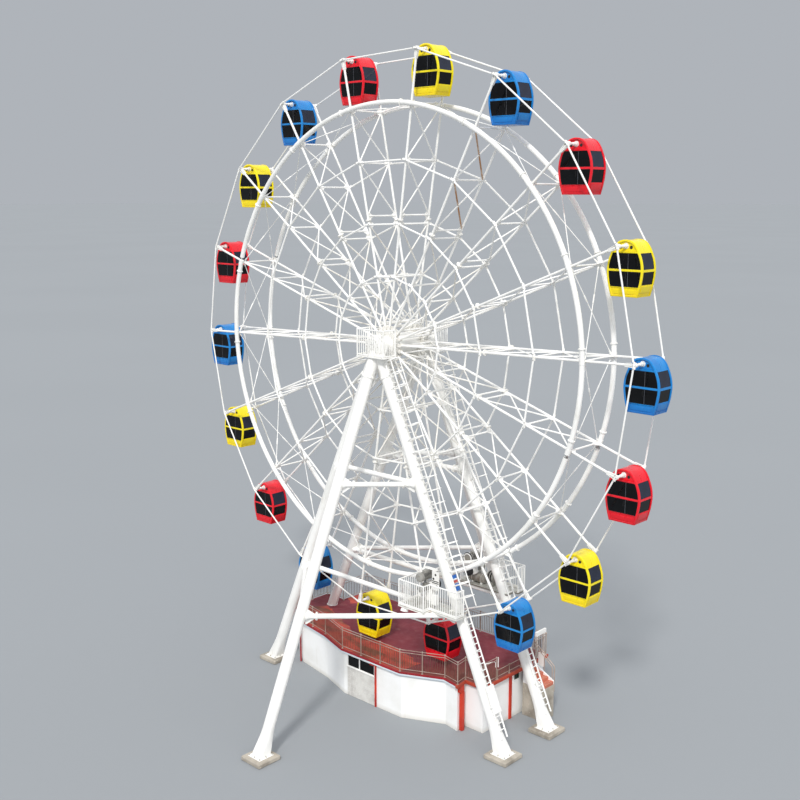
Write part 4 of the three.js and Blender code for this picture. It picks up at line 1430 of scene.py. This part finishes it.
def motor_stands(work, axis, upper, out):
    """Two posts under the back unit's motors, and a round fan cover with a ring and a seal."""
    near, far = STAND_Y
    for motor in (axis, upper):
        low = (motor.x - STAND_HALF, near, floor_top)
        work.block(low, (motor.x + STAND_HALF, far, motor.z), 0.01)
    cover = upper + out * FAN_FACE
    turned(work, cover, out, FAN_COVER, 32, STAINED_PART)
    for (along, radius, tube), finish in ((FAN_RING, PAINT), (FAN_SEAL, DARK_RUBBER_AND_SHADE)):
        bent_pipe(work, circle(cover + out * along, out, radius, 36), tube, 10, finish, joined=True)


def control_cabinet(work, side):
    """A small cabinet on two legs."""
    foot = Vector((CABINET_AT[0], side * CABINET_AT[1], floor_top))
    for low, high, chamfer in CABINET:
        work.block(foot + Vector(low), foot + Vector(high), chamfer)


def leg_boards(work):
    """Small coloured boards on the front right leg, beside the ladder."""
    for drop, length, board in BOARDS:
        near = []
        for down_by, y in ((0, -1), (length, -1), (length, 1), (0, 1)):
            near.append(ladder_point(-1, drop + down_by, y * BOARD_HALF, BOARD_SET))
        work.loft([near, [p + outward * BOARD_THICK for p in near]], board)


def tank_and_drum(work):
    """A strapped tank on two feet, and a ribbed drum on a stand with two hoses to the floor."""
    tank = Vector((TANK_AT[0], TANK_AT[1], floor_top + TANK_AT[2]))
    turned(work, tank, ALONG_X, TANK, 36, STAINED_PART)
    foot_x, foot_y, foot_height = TANK_FOOT
    for x in TANK_STRAPS:
        turned(work, tank, ALONG_X, [(x + along, radius) for along, radius in STRAP], 36, BOLT)
        low = (tank.x + x - foot_x, tank.y - foot_y, floor_top)
        work.block(low, (tank.x + x + foot_x, tank.y + foot_y, floor_top + foot_height), 0.006)
    drum = Vector((DRUM_AT[0], DRUM_AT[1], floor_top + DRUM_AT[2]))
    for i in range(DRUM_RIBS):
        rib = [(DRUM_PITCH * i + along, radius) for along, radius in DRUM_RIB]
        turned(work, drum, ALONG_X, rib, 28, DARK_RUBBER_AND_SHADE if i % 2 else MOTOR)
    low, high = DRUM_STAND
    work.block((*low, floor_top), (*high, floor_top + DRUM_STAND_HEIGHT), 0.01, MOTOR)
    for bend in HOSES:
        bent_pipe(work, [Vector((x, y, floor_top + z)) for x, y, z in bend], HOSE_TUBE, 10, DARK_RUBBER_AND_SHADE)


for face, side in SIDES:
    unit = Work()
    out = Vector((0, side, 0))
    axis = Vector((DRIVE_X, 0, tyre_z))
    y0, y1 = sorted(side * y for y in GEAR_Y)
    low = (DRIVE_X - GEAR_HALF, y0, floor_top + GEAR_LIFTS[face])
    unit.block(low, (DRIVE_X + GEAR_HALF, y1, tyre_z + GEAR_UP), 0.03)
    turned(unit, axis, out, GEAR_BOSS, 24)
    bolts(unit, axis + out * GEAR_FACE, -out, *GEAR_BOLTS, BOLT)
    ribbed_motor(unit, axis, out, *LOWER_MOTOR)
    upper = axis + Vector(UPPER_PLACES[face])
    ribbed_motor(unit, upper, out, *UPPER_MOTORS[face])
    if side < 0:
        sprung_frame(unit, axis, out)
        leg_boards(unit)
    else:
        motor_stands(unit, axis, upper, out)
        tank_and_drum(unit)
    control_cabinet(unit, side)
    name = f"{face}_drive_unit"
    place(unit.mesh(name, DRIVE_FINISHES), name, "supports_and_deck")

# Drive tyres: solid rubber with a shallow tread on a pressed steel wheel, keyed to the gear's shaft. One
# at the front and one at the back press on the rims and turn the wheel.
HALF_TYRE = [(-TYRE_HALF, 0.14), (-TYRE_HALF, 0.21), (-0.055, 0.232)]
TYRE = HALF_TYRE + [(-along, radius) for along, radius in reversed(HALF_TYRE)]
LUGS = 40
LUG_HALF = 0.011
LUG_REACH = 0.062
LUG_FOOT = 0.225
LUG_HEIGHT = 0.014
WHEEL_DISC = [(-0.05, 0.142), (-0.02, 0.13), (-0.02, 0.06), (-0.06, 0.055)]
DISC_FACE = 0.02
DISC_BOLTS = (0.095, 6, 0.024)
TYRE_SHAFT = [(-0.075, 0.05), (0.16, 0.045)]
RUBBER, DISC_PAINT, SHAFT_STEEL = 0, 1, 2

tyre_rubber = Finish("tyre_rubber_tread", srgb(30, 30, 31), 0.8)
tyre_rubber.patches(srgb(66, 62, 58), 8.0, 5, (0.5, 0.75), 0.8)
tyre_rubber.gloss(11.0, 0.65, 0.9)
tyre_rubber.grain(70.0, 3, 0.4, 0.003)

TYRE_FINISHES = [tyre_rubber.material, white_paint.material, bolt_steel.material]
for face, side in SIDES:
    tyre = Work()
    out = Vector((0, side, 0))
    centre = Vector((DRIVE_X, side * ring_y(RIM_RADIUS, RIM_TUBE), tyre_z))
    turned(tyre, centre, out, TYRE, 48, RUBBER)
    for i in range(LUGS):
        angle = 2 * math.pi * i / LUGS
        way = Vector((math.cos(angle), 0, math.sin(angle)))
        flat = way.cross(out) * LUG_HALF
        foot = centre + way * LUG_FOOT
        inner = [foot + out * (LUG_REACH * a) + flat * b for a, b in ((-1, 1), (1, 1), (1, -1), (-1, -1))]
        tyre.loft([inner, [p + way * LUG_HEIGHT for p in inner]], RUBBER)
    turned(tyre, centre, out, WHEEL_DISC, 28, DISC_PAINT)
    turned(tyre, centre, out, TYRE_SHAFT, 16, SHAFT_STEEL)
    bolts(tyre, centre - out * DISC_FACE, -out, *DISC_BOLTS, SHAFT_STEEL)
    name = f"{face}_drive_tyre_tread"
    place(tyre.mesh(name, TYRE_FINISHES), name, f"{face}_tyre_body", [f"{face}_drive_tyre"])

# Boarding deck: a cast slab with a painted and badly worn red floor, its purplish red painted shade and its
# orange patches painted sunlight.
# Its edge has a red kerb over a drip edge tinted pale blue as painted shade.
DECK_THICK = 0.16
DECK_OUTLINE = [
    (-7.85, 0.1), (-6.2, -1.06), (-3.86, -1.5), (-2.0, -2.11), (1.8, -2.08), (3.72, -1.17),
    (4.72, -1.36), (4.62, -0.68), (5.65, -0.68), (5.65, 4.2), (-6.5, 4.2), (-6.6, 2.5),
    (-7.85, 2.5),
]
KERB_LOW = 0.085
# Where along X the kerb and the slab's edge change colour towards the deck's right side.
RIGHT_SIDE_SPAN = (4.5, 4.56)
RAGGED_STEPS, RAGGED_REACH = 7, 0.13
RAGGED_PITCH, RAGGED_PITCH_Y = 2.1, 3.3
RAGGED_LEFT = -6.4
RAGGED_FRONT, RAGGED_BACK = -0.9, 4.0
RAGGED_LEVEL = 0.5
# Outlines of the floor's patches of painted sunlight.
SUNLIT_PATCHES = (
    [(-7.7, 0.42), (-7.7, 0.16), (-6.16, -0.98), (-3.84, -1.42), (-1.98, -2.03), (1.78, -2.0),
     (1.88, -0.82), (-0.55, -0.08), (-2.85, -0.34), (-5.34, 0.84), (-6.54, 1.28), (-6.98, 0.65)],
    [(-6.46, 4.1), (-4.9, 4.1), (-5.2, 2.85), (-5.9, 2.35), (-6.55, 2.74)],
)


def difference(paint, first, second):
    """One value of a pattern less another."""
    less = paint.node("ShaderNodeMath")
    less.operation = "SUBTRACT"
    paint.tree.links.new(first, less.inputs[0])
    paint.tree.links.new(second, less.inputs[1])
    return less.outputs[0]


# The floor's purplish red is the red paint as if in shade: painted shade, with real wear in its pale
# patches.
floor_paint = Finish("worn_red_floor_paint", srgb(122, 46, 56), 0.85)
floor_paint.patches(srgb(134, 58, 66), 0.9, 6, (0.45, 0.72), 0.8)
floor_paint.patches(srgb(108, 46, 58), 0.5, 4, (0.52, 0.68), 0.7)
front_right = difference(floor_paint, floor_paint.along("X"), floor_paint.along("Y"))
floor_paint.over(srgb(136, 78, 68), floor_paint.span(front_right, 2.6, 4.2, 0, 0.8))
floor_paint.patches(srgb(150, 110, 102), 2.4, 7, (0.62, 0.76), 0.4)
floor_paint.gloss(3.0, 0.6, 0.92)
floor_paint.grain(20.0, 6, 0.4, 0.006)

# The same red paint as if in sunlight: painted sunlight, with random darker and paler patches.
sunlit_floor_paint = Finish("floor_patch_painted_sunlight", srgb(190, 76, 60), 0.85)
sunlit_floor_paint.patches(srgb(160, 64, 60), 1.1, 6, (0.45, 0.65), 0.8)
sunlit_floor_paint.patches(srgb(202, 116, 98), 2.6, 6, (0.56, 0.7), 0.6)
sunlit_floor_paint.patches(srgb(104, 74, 56), 1.7, 7, (0.5, 0.64), 0.8, stretch=(0.4, 1.2, 1))
sunlit_floor_paint.gloss(3.0, 0.6, 0.92)
sunlit_floor_paint.grain(20.0, 6, 0.4, 0.006)

kerb_paint = Finish("red_kerb_paint", srgb(158, 24, 34), 0.6)
kerb_paint.patches(srgb(116, 26, 32), 1.7, 6, (0.45, 0.7), 0.8)
# The kerb turns orange towards the deck's right side.
kerb_paint.fade(srgb(190, 74, 46), "X", RIGHT_SIDE_SPAN, 0.85)
kerb_paint.patches(srgb(206, 168, 158), 8.0, 6, (0.66, 0.78), 0.4)
kerb_paint.gloss(5.0, 0.45, 0.8)
kerb_paint.grain(24.0, 5, 0.35, 0.004)

# The slab's edge under the kerb is tinted pale blue: painted shade under the deck's edge.
slab_edge_shade = Finish("slab_edge_painted_shade", srgb(214, 224, 232), 0.85)
slab_edge_shade.patches(srgb(226, 232, 236), 1.5, 5, (0.42, 0.7))
# The edge turns red towards the deck's right side.
slab_edge_shade.fade(srgb(178, 66, 46), "X", RIGHT_SIDE_SPAN)
slab_edge_shade.gloss(6.0, 0.75, 0.95)
slab_edge_shade.grain(24.0, 5, 0.3, 0.004)

DECK_FINISHES = [floor_paint.material, kerb_paint.material, slab_edge_shade.material, sunlit_floor_paint.material]
FLOOR, KERB, EDGE, SUNLIT = 0, 1, 2, 3


def ragged_outline(outline):
    """The outline with more points, shifted a little inside the deck, to give a patch of painted sunlight a
    ragged edge.
    """
    worn = []
    for i, (x0, y0) in enumerate(outline):
        x1, y1 = outline[(i + 1) % len(outline)]
        for j in range(RAGGED_STEPS):
            share = j / RAGGED_STEPS
            spot = Vector((x0 + (x1 - x0) * share, y0 + (y1 - y0) * share, RAGGED_LEVEL))
            inward = spot.x > RAGGED_LEFT and RAGGED_FRONT < spot.y < RAGGED_BACK
            reach = RAGGED_REACH if inward else 0.0
            shift_x = reach * noise.noise(spot * RAGGED_PITCH)
            shift_y = 2 * reach * noise.noise(spot * RAGGED_PITCH_Y)
            worn.append((spot.x + shift_x, spot.y + shift_y))
    return worn


deck = Work()
deck_low = DECK_TOP - DECK_THICK
deck.slab(inset(DECK_OUTLINE, 0.02), deck_low + 0.004, DECK_TOP - 0.006, 0.0, FLOOR)
deck.slab(inset(DECK_OUTLINE, 0.006), deck_low, DECK_TOP - 0.03, 0.0, EDGE)
# Patches of painted sunlight on the floor, with ragged edges.
for patch in SUNLIT_PATCHES:
    deck.slab(ragged_outline(patch), DECK_TOP - 0.02, DECK_TOP - 0.003, 0.0, SUNLIT)
kerb_section = (
    (0.0, DECK_TOP - KERB_LOW), (0.0, DECK_TOP - 0.008), (0.008, DECK_TOP),
    (0.05, DECK_TOP), (0.055, DECK_TOP - 0.03),
)
kerb = [[(x, y, level) for x, y in inset(DECK_OUTLINE, draw)] for draw, level in kerb_section]
deck.loft([[loop[i] for loop in kerb] for i in range(len(DECK_OUTLINE))], KERB, joined=True)
deck_mesh = deck.mesh("deck_slab", DECK_FINISHES)
place(deck_mesh, "deck_slab", "supports_and_deck", ["boarding_deck"])

# The room under the deck is built of block and plastered white, with a pale blue painted shadow of the deck
# along the top of its walls.
# Posts painted red stand at its corners, and a low wall of bare blocks fills the opening below the
# front window.
POSTS = (
    ((-6.27, -0.98, 0), (-6.2, -0.91, deck_low), 0.01, 1),
    ((0.11, -1.98, 0), (0.2, -1.88, deck_low), 0.01, 0),
    ((-0.2, -1.99, deck_low - 0.15), (0.06, -1.9, deck_low - 0.02), 0.015, 0),
    ((4.5, -0.99, 0), (4.68, -0.82, deck_low - 0.3), 0.012, 0),
    ((4.38, -1.12, deck_low - 0.3), (4.65, -0.8, deck_low), 0.02, 0),
    ((5.44, 1.38, 0), (5.54, 1.54, deck_low), 0.01, 0),
)
WINDOW_LEFT, WINDOW_RIGHT = -1.75, 0.1
WALL_FACE = -1.925
BLOCK_ROWS = 7
BLOCK_LENGTH, BLOCK_HEIGHT = 0.39, 0.2
BLOCK_JOINT = 0.01
MORTAR_HALF = 0.004

plaster = Finish("white_plaster_painted_shadow", srgb(250, 250, 248), 0.85)
plaster.patches(srgb(236, 235, 230), 0.8, 5, (0.45, 0.72), 0.8)
plaster.patches(srgb(214, 208, 196), 2.0, 6, (0.64, 0.8), 0.4, stretch=(1, 1, 0.18))
# Pale blue at the top of the walls, just under the deck: painted shadow of the deck's overhang.
plaster.fade(srgb(214, 226, 234), "Z", (deck_low - 0.16, deck_low - 0.12), 0.7)
plaster.fade(srgb(190, 182, 166), "Z", (0.25, 0.0), 0.5)
plaster.gloss(4.0, 0.78, 0.95)
plaster.grain(26.0, 6, 0.3, 0.004)
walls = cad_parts["room_walls"]
walls.data.materials.clear()
walls.data.materials.append(plaster.material)

post_paint = Finish("red_post_paint", srgb(204, 56, 30), 0.5)
post_paint.patches(srgb(150, 26, 30), 0.9, 5, (0.45, 0.65), 0.8)
post_paint.patches(srgb(224, 120, 96), 5.0, 6, (0.62, 0.76), 0.5)
post_paint.gloss(4.0, 0.35, 0.7)
post_paint.grain(18.0, 4, 0.2, 0.003)

bare_block = Finish("bare_block", srgb(222, 220, 214), 0.92)
bare_block.patches(srgb(196, 192, 186), 1.6, 6, (0.42, 0.7))
bare_block.gloss(5.0, 0.85, 0.98)
bare_block.grain(34.0, 6, 0.6, 0.006)

posts = Work()
for low, high, chamfer, finish in POSTS:
    posts.block(low, high, chamfer, finish)
place(posts.mesh("red_posts", [post_paint.material, kerb_paint.material]), "red_posts", "supports_and_deck")

infill = Work()
for row in range(BLOCK_ROWS):
    low = BLOCK_JOINT + row * (BLOCK_HEIGHT + BLOCK_JOINT)
    start = WINDOW_LEFT - (0.0 if row % 2 else 0.2)
    while start < WINDOW_RIGHT - 0.02:
        left = max(start, WINDOW_LEFT)
        right = min(start + BLOCK_LENGTH, WINDOW_RIGHT)
        if right - left > 0.05:
            near = (left + MORTAR_HALF, WALL_FACE - 0.012, low)
            infill.block(near, (right - MORTAR_HALF, WALL_FACE + 0.03, low + BLOCK_HEIGHT), MORTAR_HALF)
        start += BLOCK_LENGTH + BLOCK_JOINT
place(infill.mesh("window_block_infill", [bare_block.material]), "window_block_infill", "supports_and_deck")

# Windows of the room: a white frame with one upright and dark glass in the front opening, and a small
# one with greenish glass in the right wall. The frames are set in the openings from outside.
WINDOW_LOW, WINDOW_HIGH = 1.5, deck_low - 0.08
WINDOW_BAR = 0.045
UPRIGHTS = (WINDOW_LEFT, -0.95, WINDOW_RIGHT - WINDOW_BAR)
SIDE_FACE = 5.47
SIDE_NEAR, SIDE_FAR, SIDE_LOW = 1.74, 2.19, 1.75
SIDE_BAR = 0.022
GLASS_SET = 0.02
GLASS_THICK = 0.008

green_glass = Finish("green_grey_glass", srgb(34, 48, 40), 0.1)
green_glass.patches(srgb(58, 68, 58), 2.4, 4, (0.4, 0.7), 0.8)
green_glass.gloss(5.0, 0.08, 0.25)
green_glass.set(specular_ior_level=0.3)

frames = Work()
for x in UPRIGHTS:
    low = (x, WALL_FACE - 0.02, WINDOW_LOW)
    frames.block(low, (x + WINDOW_BAR, WALL_FACE + 0.06, WINDOW_HIGH), 0.005)
for z0, z1 in ((WINDOW_LOW, WINDOW_LOW + 0.03), (WINDOW_HIGH - WINDOW_BAR, WINDOW_HIGH)):
    frames.block((WINDOW_LEFT, WALL_FACE - 0.015, z0), (WINDOW_RIGHT, WALL_FACE + 0.055, z1), 0.005)
sill_low = (WINDOW_LEFT - 0.05, WALL_FACE - 0.06, WINDOW_LOW - 0.025)
frames.block(sill_low, (WINDOW_RIGHT + 0.05, WALL_FACE + 0.02, WINDOW_LOW), 0.006)
for y in (SIDE_NEAR, SIDE_FAR - SIDE_BAR):
    low = (SIDE_FACE - 0.06, y, SIDE_LOW)
    frames.block(low, (SIDE_FACE + 0.015, y + SIDE_BAR, WINDOW_HIGH), 0.005)
for z in (SIDE_LOW, WINDOW_HIGH - SIDE_BAR):
    low = (SIDE_FACE - 0.055, SIDE_NEAR, z)
    frames.block(low, (SIDE_FACE + 0.012, SIDE_FAR, z + SIDE_BAR), 0.005)
place(frames.mesh("room_window_frames", [white_paint.material]), "room_window_frames", "supports_and_deck")

glass = Work()
glass_y = WALL_FACE + GLASS_SET
low = (WINDOW_LEFT + GLASS_SET, glass_y, WINDOW_LOW + GLASS_SET)
glass.block(low, (WINDOW_RIGHT - GLASS_SET, glass_y + GLASS_THICK, WINDOW_HIGH - GLASS_SET))
glass_x = SIDE_FACE - 0.03
low = (glass_x, SIDE_NEAR + GLASS_SET, SIDE_LOW + GLASS_SET)
glass.block(low, (glass_x + GLASS_THICK, SIDE_FAR - GLASS_SET, WINDOW_HIGH - GLASS_SET), 0.0, 1)
glass_mesh = glass.mesh("room_window_glass", [tinted_glass.material, green_glass.material])
place(glass_mesh, "room_window_glass", "supports_and_deck")

# Deck railing: ready-made steel panels between tube posts with ball heads. Two thin rails run along
# the top, and slim brown bars stand on a bottom rail. A low one stands beside the head of the steps.
RAIL_INSET = 0.09
RAIL_HEIGHT = 1.1
RAIL_LEVELS = (0.12, 0.93, 1.05)
RAIL_BAY = 1.35
RAIL_TUBE = 0.016
RAIL_X = 5.56
STEPS_SIDE_GAP = (0.32, 3.14)
LOW_RAIL = 0.48
LOW_RAIL_PATH = [(RAIL_X, 0.4), (RAIL_X, 2.15)]
LOW_RAIL_LEVELS = (0.12, 0.42)
LOW_RAIL_BAY = 0.88
DECK_BAR = 0.011
DECK_BAR_PITCH = 0.11
POST_TUBE = 0.021
POST_HEAD = 0.04
POST_FOOT = [(0, 0.055), (0.012, 0.055), (0.02, 0.028)]
BALL_STEPS = 8

rail_steel = Finish("satin_rail_steel", srgb(184, 167, 154), 0.4, 0.25)
rail_steel.patches(srgb(146, 120, 104), 2.0, 5, (0.45, 0.7), 0.8)
rail_steel.gloss(7.0, 0.25, 0.5)
rail_steel.grain(50.0, 2, 0.1, 0.001, stretch=(1, 1, 0.1))

bar_brown = Finish("brown_bar_paint", srgb(96, 66, 54), 0.5, 0.2)
bar_brown.patches(srgb(132, 100, 82), 4.0, 5, (0.45, 0.7))
bar_brown.gloss(8.0, 0.38, 0.62)
RAIL_FINISHES = [rail_steel.material, bar_brown.material]
BAR_FINISH = 1


def ball(work, centre, radius):
    """A ball on top of a post."""
    angles = [math.pi * i / BALL_STEPS for i in range(BALL_STEPS + 1)]
    steps = [(-radius * math.cos(a), max(radius * math.sin(a), 0.002)) for a in angles]
    turned(work, centre, UP, steps, 14)


def deck_post(work, x, y, height):
    foot = Vector((x, y, DECK_TOP))
    turned(work, foot, UP, POST_FOOT, 16)
    pipe(work, foot, foot + UP * (height - POST_HEAD * 1.3), POST_TUBE, 12)
    ball(work, foot + UP * (height - POST_HEAD), POST_HEAD)


def deck_rail(work, path, height, levels, bay):
    """Rails along a path, posts at its corners and once a bay, and bars up to the last rail but one."""
    bar_top = levels[-2] if len(levels) > 2 else levels[-1]
    deck_post(work, *path[0], height)
    for start, end in zip(path, path[1:]):
        first, last = Vector((*start, DECK_TOP)), Vector((*end, DECK_TOP))
        run = last - first
        for level in levels:
            pipe(work, first + UP * level, last + UP * level, RAIL_TUBE, 10)
        count = max(1, round(run.length / bay))
        for i in range(1, count + 1):
            spot = first + run * i / count
            deck_post(work, spot.x, spot.y, height)
        bars = max(2, round(run.length / DECK_BAR_PITCH))
        for i in range(1, bars):
            spot = first + run * i / bars
            pipe(work, spot + UP * levels[0], spot + UP * bar_top, DECK_BAR, 6, BAR_FINISH)


corners = inset(DECK_OUTLINE, RAIL_INSET)
right_corner = next(i for i, (x, _) in enumerate(corners) if x > 5)
front_path = [(RAIL_X, STEPS_SIDE_GAP[0]), *corners[right_corner::-1]]
back_path = [*corners[:right_corner:-1], (RAIL_X, STEPS_SIDE_GAP[1])]
railing = Work()
deck_rail(railing, front_path + back_path, RAIL_HEIGHT, RAIL_LEVELS, RAIL_BAY)
rail_mesh = railing.mesh("deck_rail_panels", RAIL_FINISHES)
place(rail_mesh, "deck_rail_panels", "supports_and_deck", ["deck_railing"])
low_rail = Work()
deck_rail(low_rail, LOW_RAIL_PATH, LOW_RAIL, LOW_RAIL_LEVELS, LOW_RAIL_BAY)
low_mesh = low_rail.mesh("low_side_rail", RAIL_FINISHES)
place(low_mesh, "low_side_rail", "supports_and_deck", ["side_railing"])

# Four brick steps lead down from the deck's right side to a concrete plinth, between a plastered string
# on each side. A double handrail of steel tube follows them on the far side.
STEP_NEAR, STEP_FAR = 2.2, 3.05
RISER, TREAD = 0.15, 0.29
TREADS = 4
STEP_START = 5.65
PLINTH_TOP = DECK_TOP - 5 * RISER
STRING_WIDTH = 0.06
STRING_RISE = 0.02
CORE_SET = 0.055
NOSE_SET = 0.03
NOSE_THICK = 0.04
BRICK_SIZE = (("Scale", 1.0), ("Brick Width", 0.23), ("Row Height", 0.07), ("Mortar Size", 0.008))
HANDRAIL_Y = 3.1
HANDRAIL = 0.022
HANDRAILS = ((5.6, 3.2, 6.66, 2.36), (5.66, 3.3, 6.78, 2.42))
HANDRAIL_SLOPE = 0.792
RAIL_STAND = 0.02
RAIL_STANDS = (5.75, 6.2)
STAND_FOOT = 1.75
BRACKET_TUBE = 0.016
BRACKET_REACH = (-0.06, 0.01)
BRACKETS = ((5.75, STAND_FOOT), (6.2, STAND_FOOT), (6.66, 1.4), (6.78, 1.4))

brick = Finish("brick_treads", srgb(206, 96, 62), 0.85)
pattern = brick.node("ShaderNodeTexBrick")
for socket, value in BRICK_SIZE:
    pattern.inputs[socket].default_value = value
brick.tree.links.new(brick.where, pattern.inputs["Vector"])
brick.patches(srgb(176, 70, 46), 4.0, 5, (0.4, 0.7))
brick.over(srgb(196, 176, 156), brick.span(pattern.outputs["Fac"], 0.4, 0.6))
brick.gloss(6.0, 0.7, 0.95)
brick.grain(30.0, 6, 0.5, 0.005)
STEP_FINISHES = [brick.material, plaster.material, concrete.material]
BRICKS, STRING, PLINTH = 0, 1, 2

flight = Work()
steps_end = STEP_START + TREADS * TREAD
string_start = STEP_START + 0.002
flight.block((string_start, STEP_NEAR, 0), (steps_end, STEP_FAR, PLINTH_TOP), 0.006, PLINTH)
for count in range(1, TREADS + 1):
    left = STEP_START + 0.001 + (count - 1) * TREAD
    top = DECK_TOP - count * RISER
    low = max(PLINTH_TOP, top - 2 * RISER)
    core = (left + TREAD, STEP_FAR - CORE_SET, top - 0.03)
    flight.block((left, STEP_NEAR + CORE_SET, low), core, 0.0, BRICKS)
    nose = (left + TREAD - 0.002, STEP_FAR - NOSE_SET, top)
    flight.block((left, STEP_NEAR + NOSE_SET, top - NOSE_THICK), nose, 0.008, BRICKS)
lowest_tread = DECK_TOP - TREADS * RISER
string = [
    (string_start, PLINTH_TOP), (steps_end, PLINTH_TOP),
    (steps_end, lowest_tread + STRING_RISE), (string_start, DECK_TOP + STRING_RISE),
]
for y in (STEP_NEAR, STEP_FAR - STRING_WIDTH):
    upright_slab(flight, string, y, y + STRING_WIDTH, 0.01, STRING)
place(flight.mesh("brick_steps", STEP_FINISHES), "brick_steps", "supports_and_deck", ["steps"])

handrail = Work()
for head_x, head_z, foot_x, foot_z in HANDRAILS:
    bend = [
        (head_x, head_z), (foot_x - 0.05, foot_z + 0.04),
        (foot_x, foot_z - 0.03), (foot_x, PLINTH_TOP - 0.4),
    ]
    bent_pipe(handrail, [Vector((x, HANDRAIL_Y, z)) for x, z in bend], HANDRAIL, 12)
for x in RAIL_STANDS:
    rail_top = HANDRAILS[0][1] - (x - HANDRAILS[0][0]) * HANDRAIL_SLOPE
    pipe(handrail, Vector((x, HANDRAIL_Y, STAND_FOOT)), Vector((x, HANDRAIL_Y, rail_top)), RAIL_STAND, 12)
for x, z in BRACKETS:
    ends = [Vector((x, HANDRAIL_Y + reach, z)) for reach in BRACKET_REACH]
    pipe(handrail, *ends, BRACKET_TUBE, 8)
place(handrail.mesh("stair_handrail", RAIL_FINISHES), "stair_handrail", "supports_and_deck")

# White guards on the deck, welded of steel and screwed to the slab: a low bumper beside the cabins'
# path with a short post, and a gate frame of two posts and a lintel at the far right corner. A small
# board hangs on the handrail of the steps.
BUMPER = (
    (4.47, 0.83, 2.32), (4.47, 0.85, 2.52), (4.5, 0.92, 2.56),
    (4.68, 1.27, 2.6), (4.71, 1.33, 2.56), (4.71, 1.34, 2.32),
)
BUMPER_TUBE = 0.023
SHORT_POST = (Vector((4.79, 1.44, 2.32)), Vector((4.79, 1.44, 2.8)))
SHORT_POST_TUBE = 0.03
GATE_X = (5.425, 5.515)
GATE_POSTS = (3.5, 4.05)
GATE_POST_HALF = 0.045
GATE_SUNK = 0.01
GATE_HEIGHT = 1.08
LINTEL = ((5.42, 3.38, DECK_TOP + 1.07), (5.52, 4.17, DECK_TOP + 1.29))
STEP_BOARD = ((5.83, 3.115, 2.2), (6.17, 3.165, 2.85))

guards = Work()
bent_pipe(guards, [Vector(p) for p in BUMPER], BUMPER_TUBE, 12)
pipe(guards, *SHORT_POST, SHORT_POST_TUBE, 12)
for y in GATE_POSTS:
    low = (GATE_X[0], y - GATE_POST_HALF, DECK_TOP - GATE_SUNK)
    guards.block(low, (GATE_X[1], y + GATE_POST_HALF, DECK_TOP + GATE_HEIGHT), 0.008)
guards.block(*LINTEL, 0.012)
guards.block(*STEP_BOARD, 0.01)
place(guards.mesh("white_guards", STEEL), "white_guards", "supports_and_deck")

# Studio: a plain pale floor that meets a backdrop of the same tone. A key light comes from the front
# right, a very soft one from further right, and an even glow from above.
BACKDROP = (0.43, 0.455, 0.49)
GLOW = (0.85, 0.87, 0.92)
GLOW_RISE = (0.25, 0.6)
FLOOR_TONE = (0.323, 0.341, 0.355)
FLOOR_HALF = 2500.0
FLOOR_LEVEL = -0.004
LIGHT_COLOUR = (1.0, 0.985, 0.965)
LIGHTS = (
    ("key_light", 2.0, 8, (0.45, -0.75, 0.8)),
    ("right_light", 0.9, 90, (0.75, -0.5, 0.4)),
)

studio_floor = Finish("studio_floor", FLOOR_TONE, 0.95)
studio_floor.patches(tuple(0.985 * c for c in FLOOR_TONE), 0.02, 2, (0.4, 0.6))
studio_floor.set(specular_ior_level=0.0)
floor_square = ((-1, -1), (1, -1), (1, 1), (-1, 1))
floor_corners = [(x * FLOOR_HALF, y * FLOOR_HALF, FLOOR_LEVEL) for x, y in floor_square]
floor_mesh = bpy.data.meshes.new("studio_floor")
floor_mesh.from_pydata(floor_corners, [], [[0, 1, 2, 3]])
floor_mesh.materials.append(studio_floor.material)
floor = bpy.data.objects.new("studio_floor", floor_mesh)
bpy.context.scene.collection.objects.link(floor)

world = bpy.data.worlds.new("soft_fill")
world.use_nodes = True
sky = world.node_tree
direction = sky.nodes.new("ShaderNodeTexCoord")
split = sky.nodes.new("ShaderNodeSeparateXYZ")
rise = sky.nodes.new("ShaderNodeMapRange")
rise.inputs["From Min"].default_value, rise.inputs["From Max"].default_value = GLOW_RISE
tones = sky.nodes.new("ShaderNodeMix")
tones.data_type = "RGBA"
tones.inputs[6].default_value = (*BACKDROP, 1.0)
tones.inputs[7].default_value = (*GLOW, 1.0)
sky.links.new(direction.outputs["Generated"], split.inputs["Vector"])
sky.links.new(split.outputs["Z"], rise.inputs["Value"])
sky.links.new(rise.outputs["Result"], tones.inputs[0])
sky.links.new(tones.outputs[2], sky.nodes["Background"].inputs["Color"])
bpy.context.scene.world = world

for name, energy, spread, source in LIGHTS:
    lamp = bpy.data.lights.new(name, "SUN")
    lamp.energy = energy
    lamp.angle = math.radians(spread)
    lamp.color = LIGHT_COLOUR
    lamp_at = bpy.data.objects.new(name, lamp)
    lamp_at.rotation_euler = Vector(source).to_track_quat("Z", "Y").to_euler()
    bpy.context.scene.collection.objects.link(lamp_at)

# Camera: high to the front right of the wheel and looking slightly down, so that the deck and its
# steps lie at the lower right and the back supports show through the wheel.
CAMERA_AT = (33.657, -35.973, 23.818)
CAMERA_TILT = 10.739
CAMERA_TURN = 43.167

camera = bpy.data.cameras.new("camera")
camera.lens = 48.85
camera.sensor_width = 36.0
camera.clip_end = 5000.0
camera_at = bpy.data.objects.new("camera", camera)
camera_at.location = CAMERA_AT
camera_at.rotation_euler = (math.radians(90 - CAMERA_TILT), 0.0, math.radians(CAMERA_TURN))
bpy.context.scene.collection.objects.link(camera_at)
bpy.context.scene.camera = camera_at
bpy.context.scene.view_settings.view_transform = "Standard"
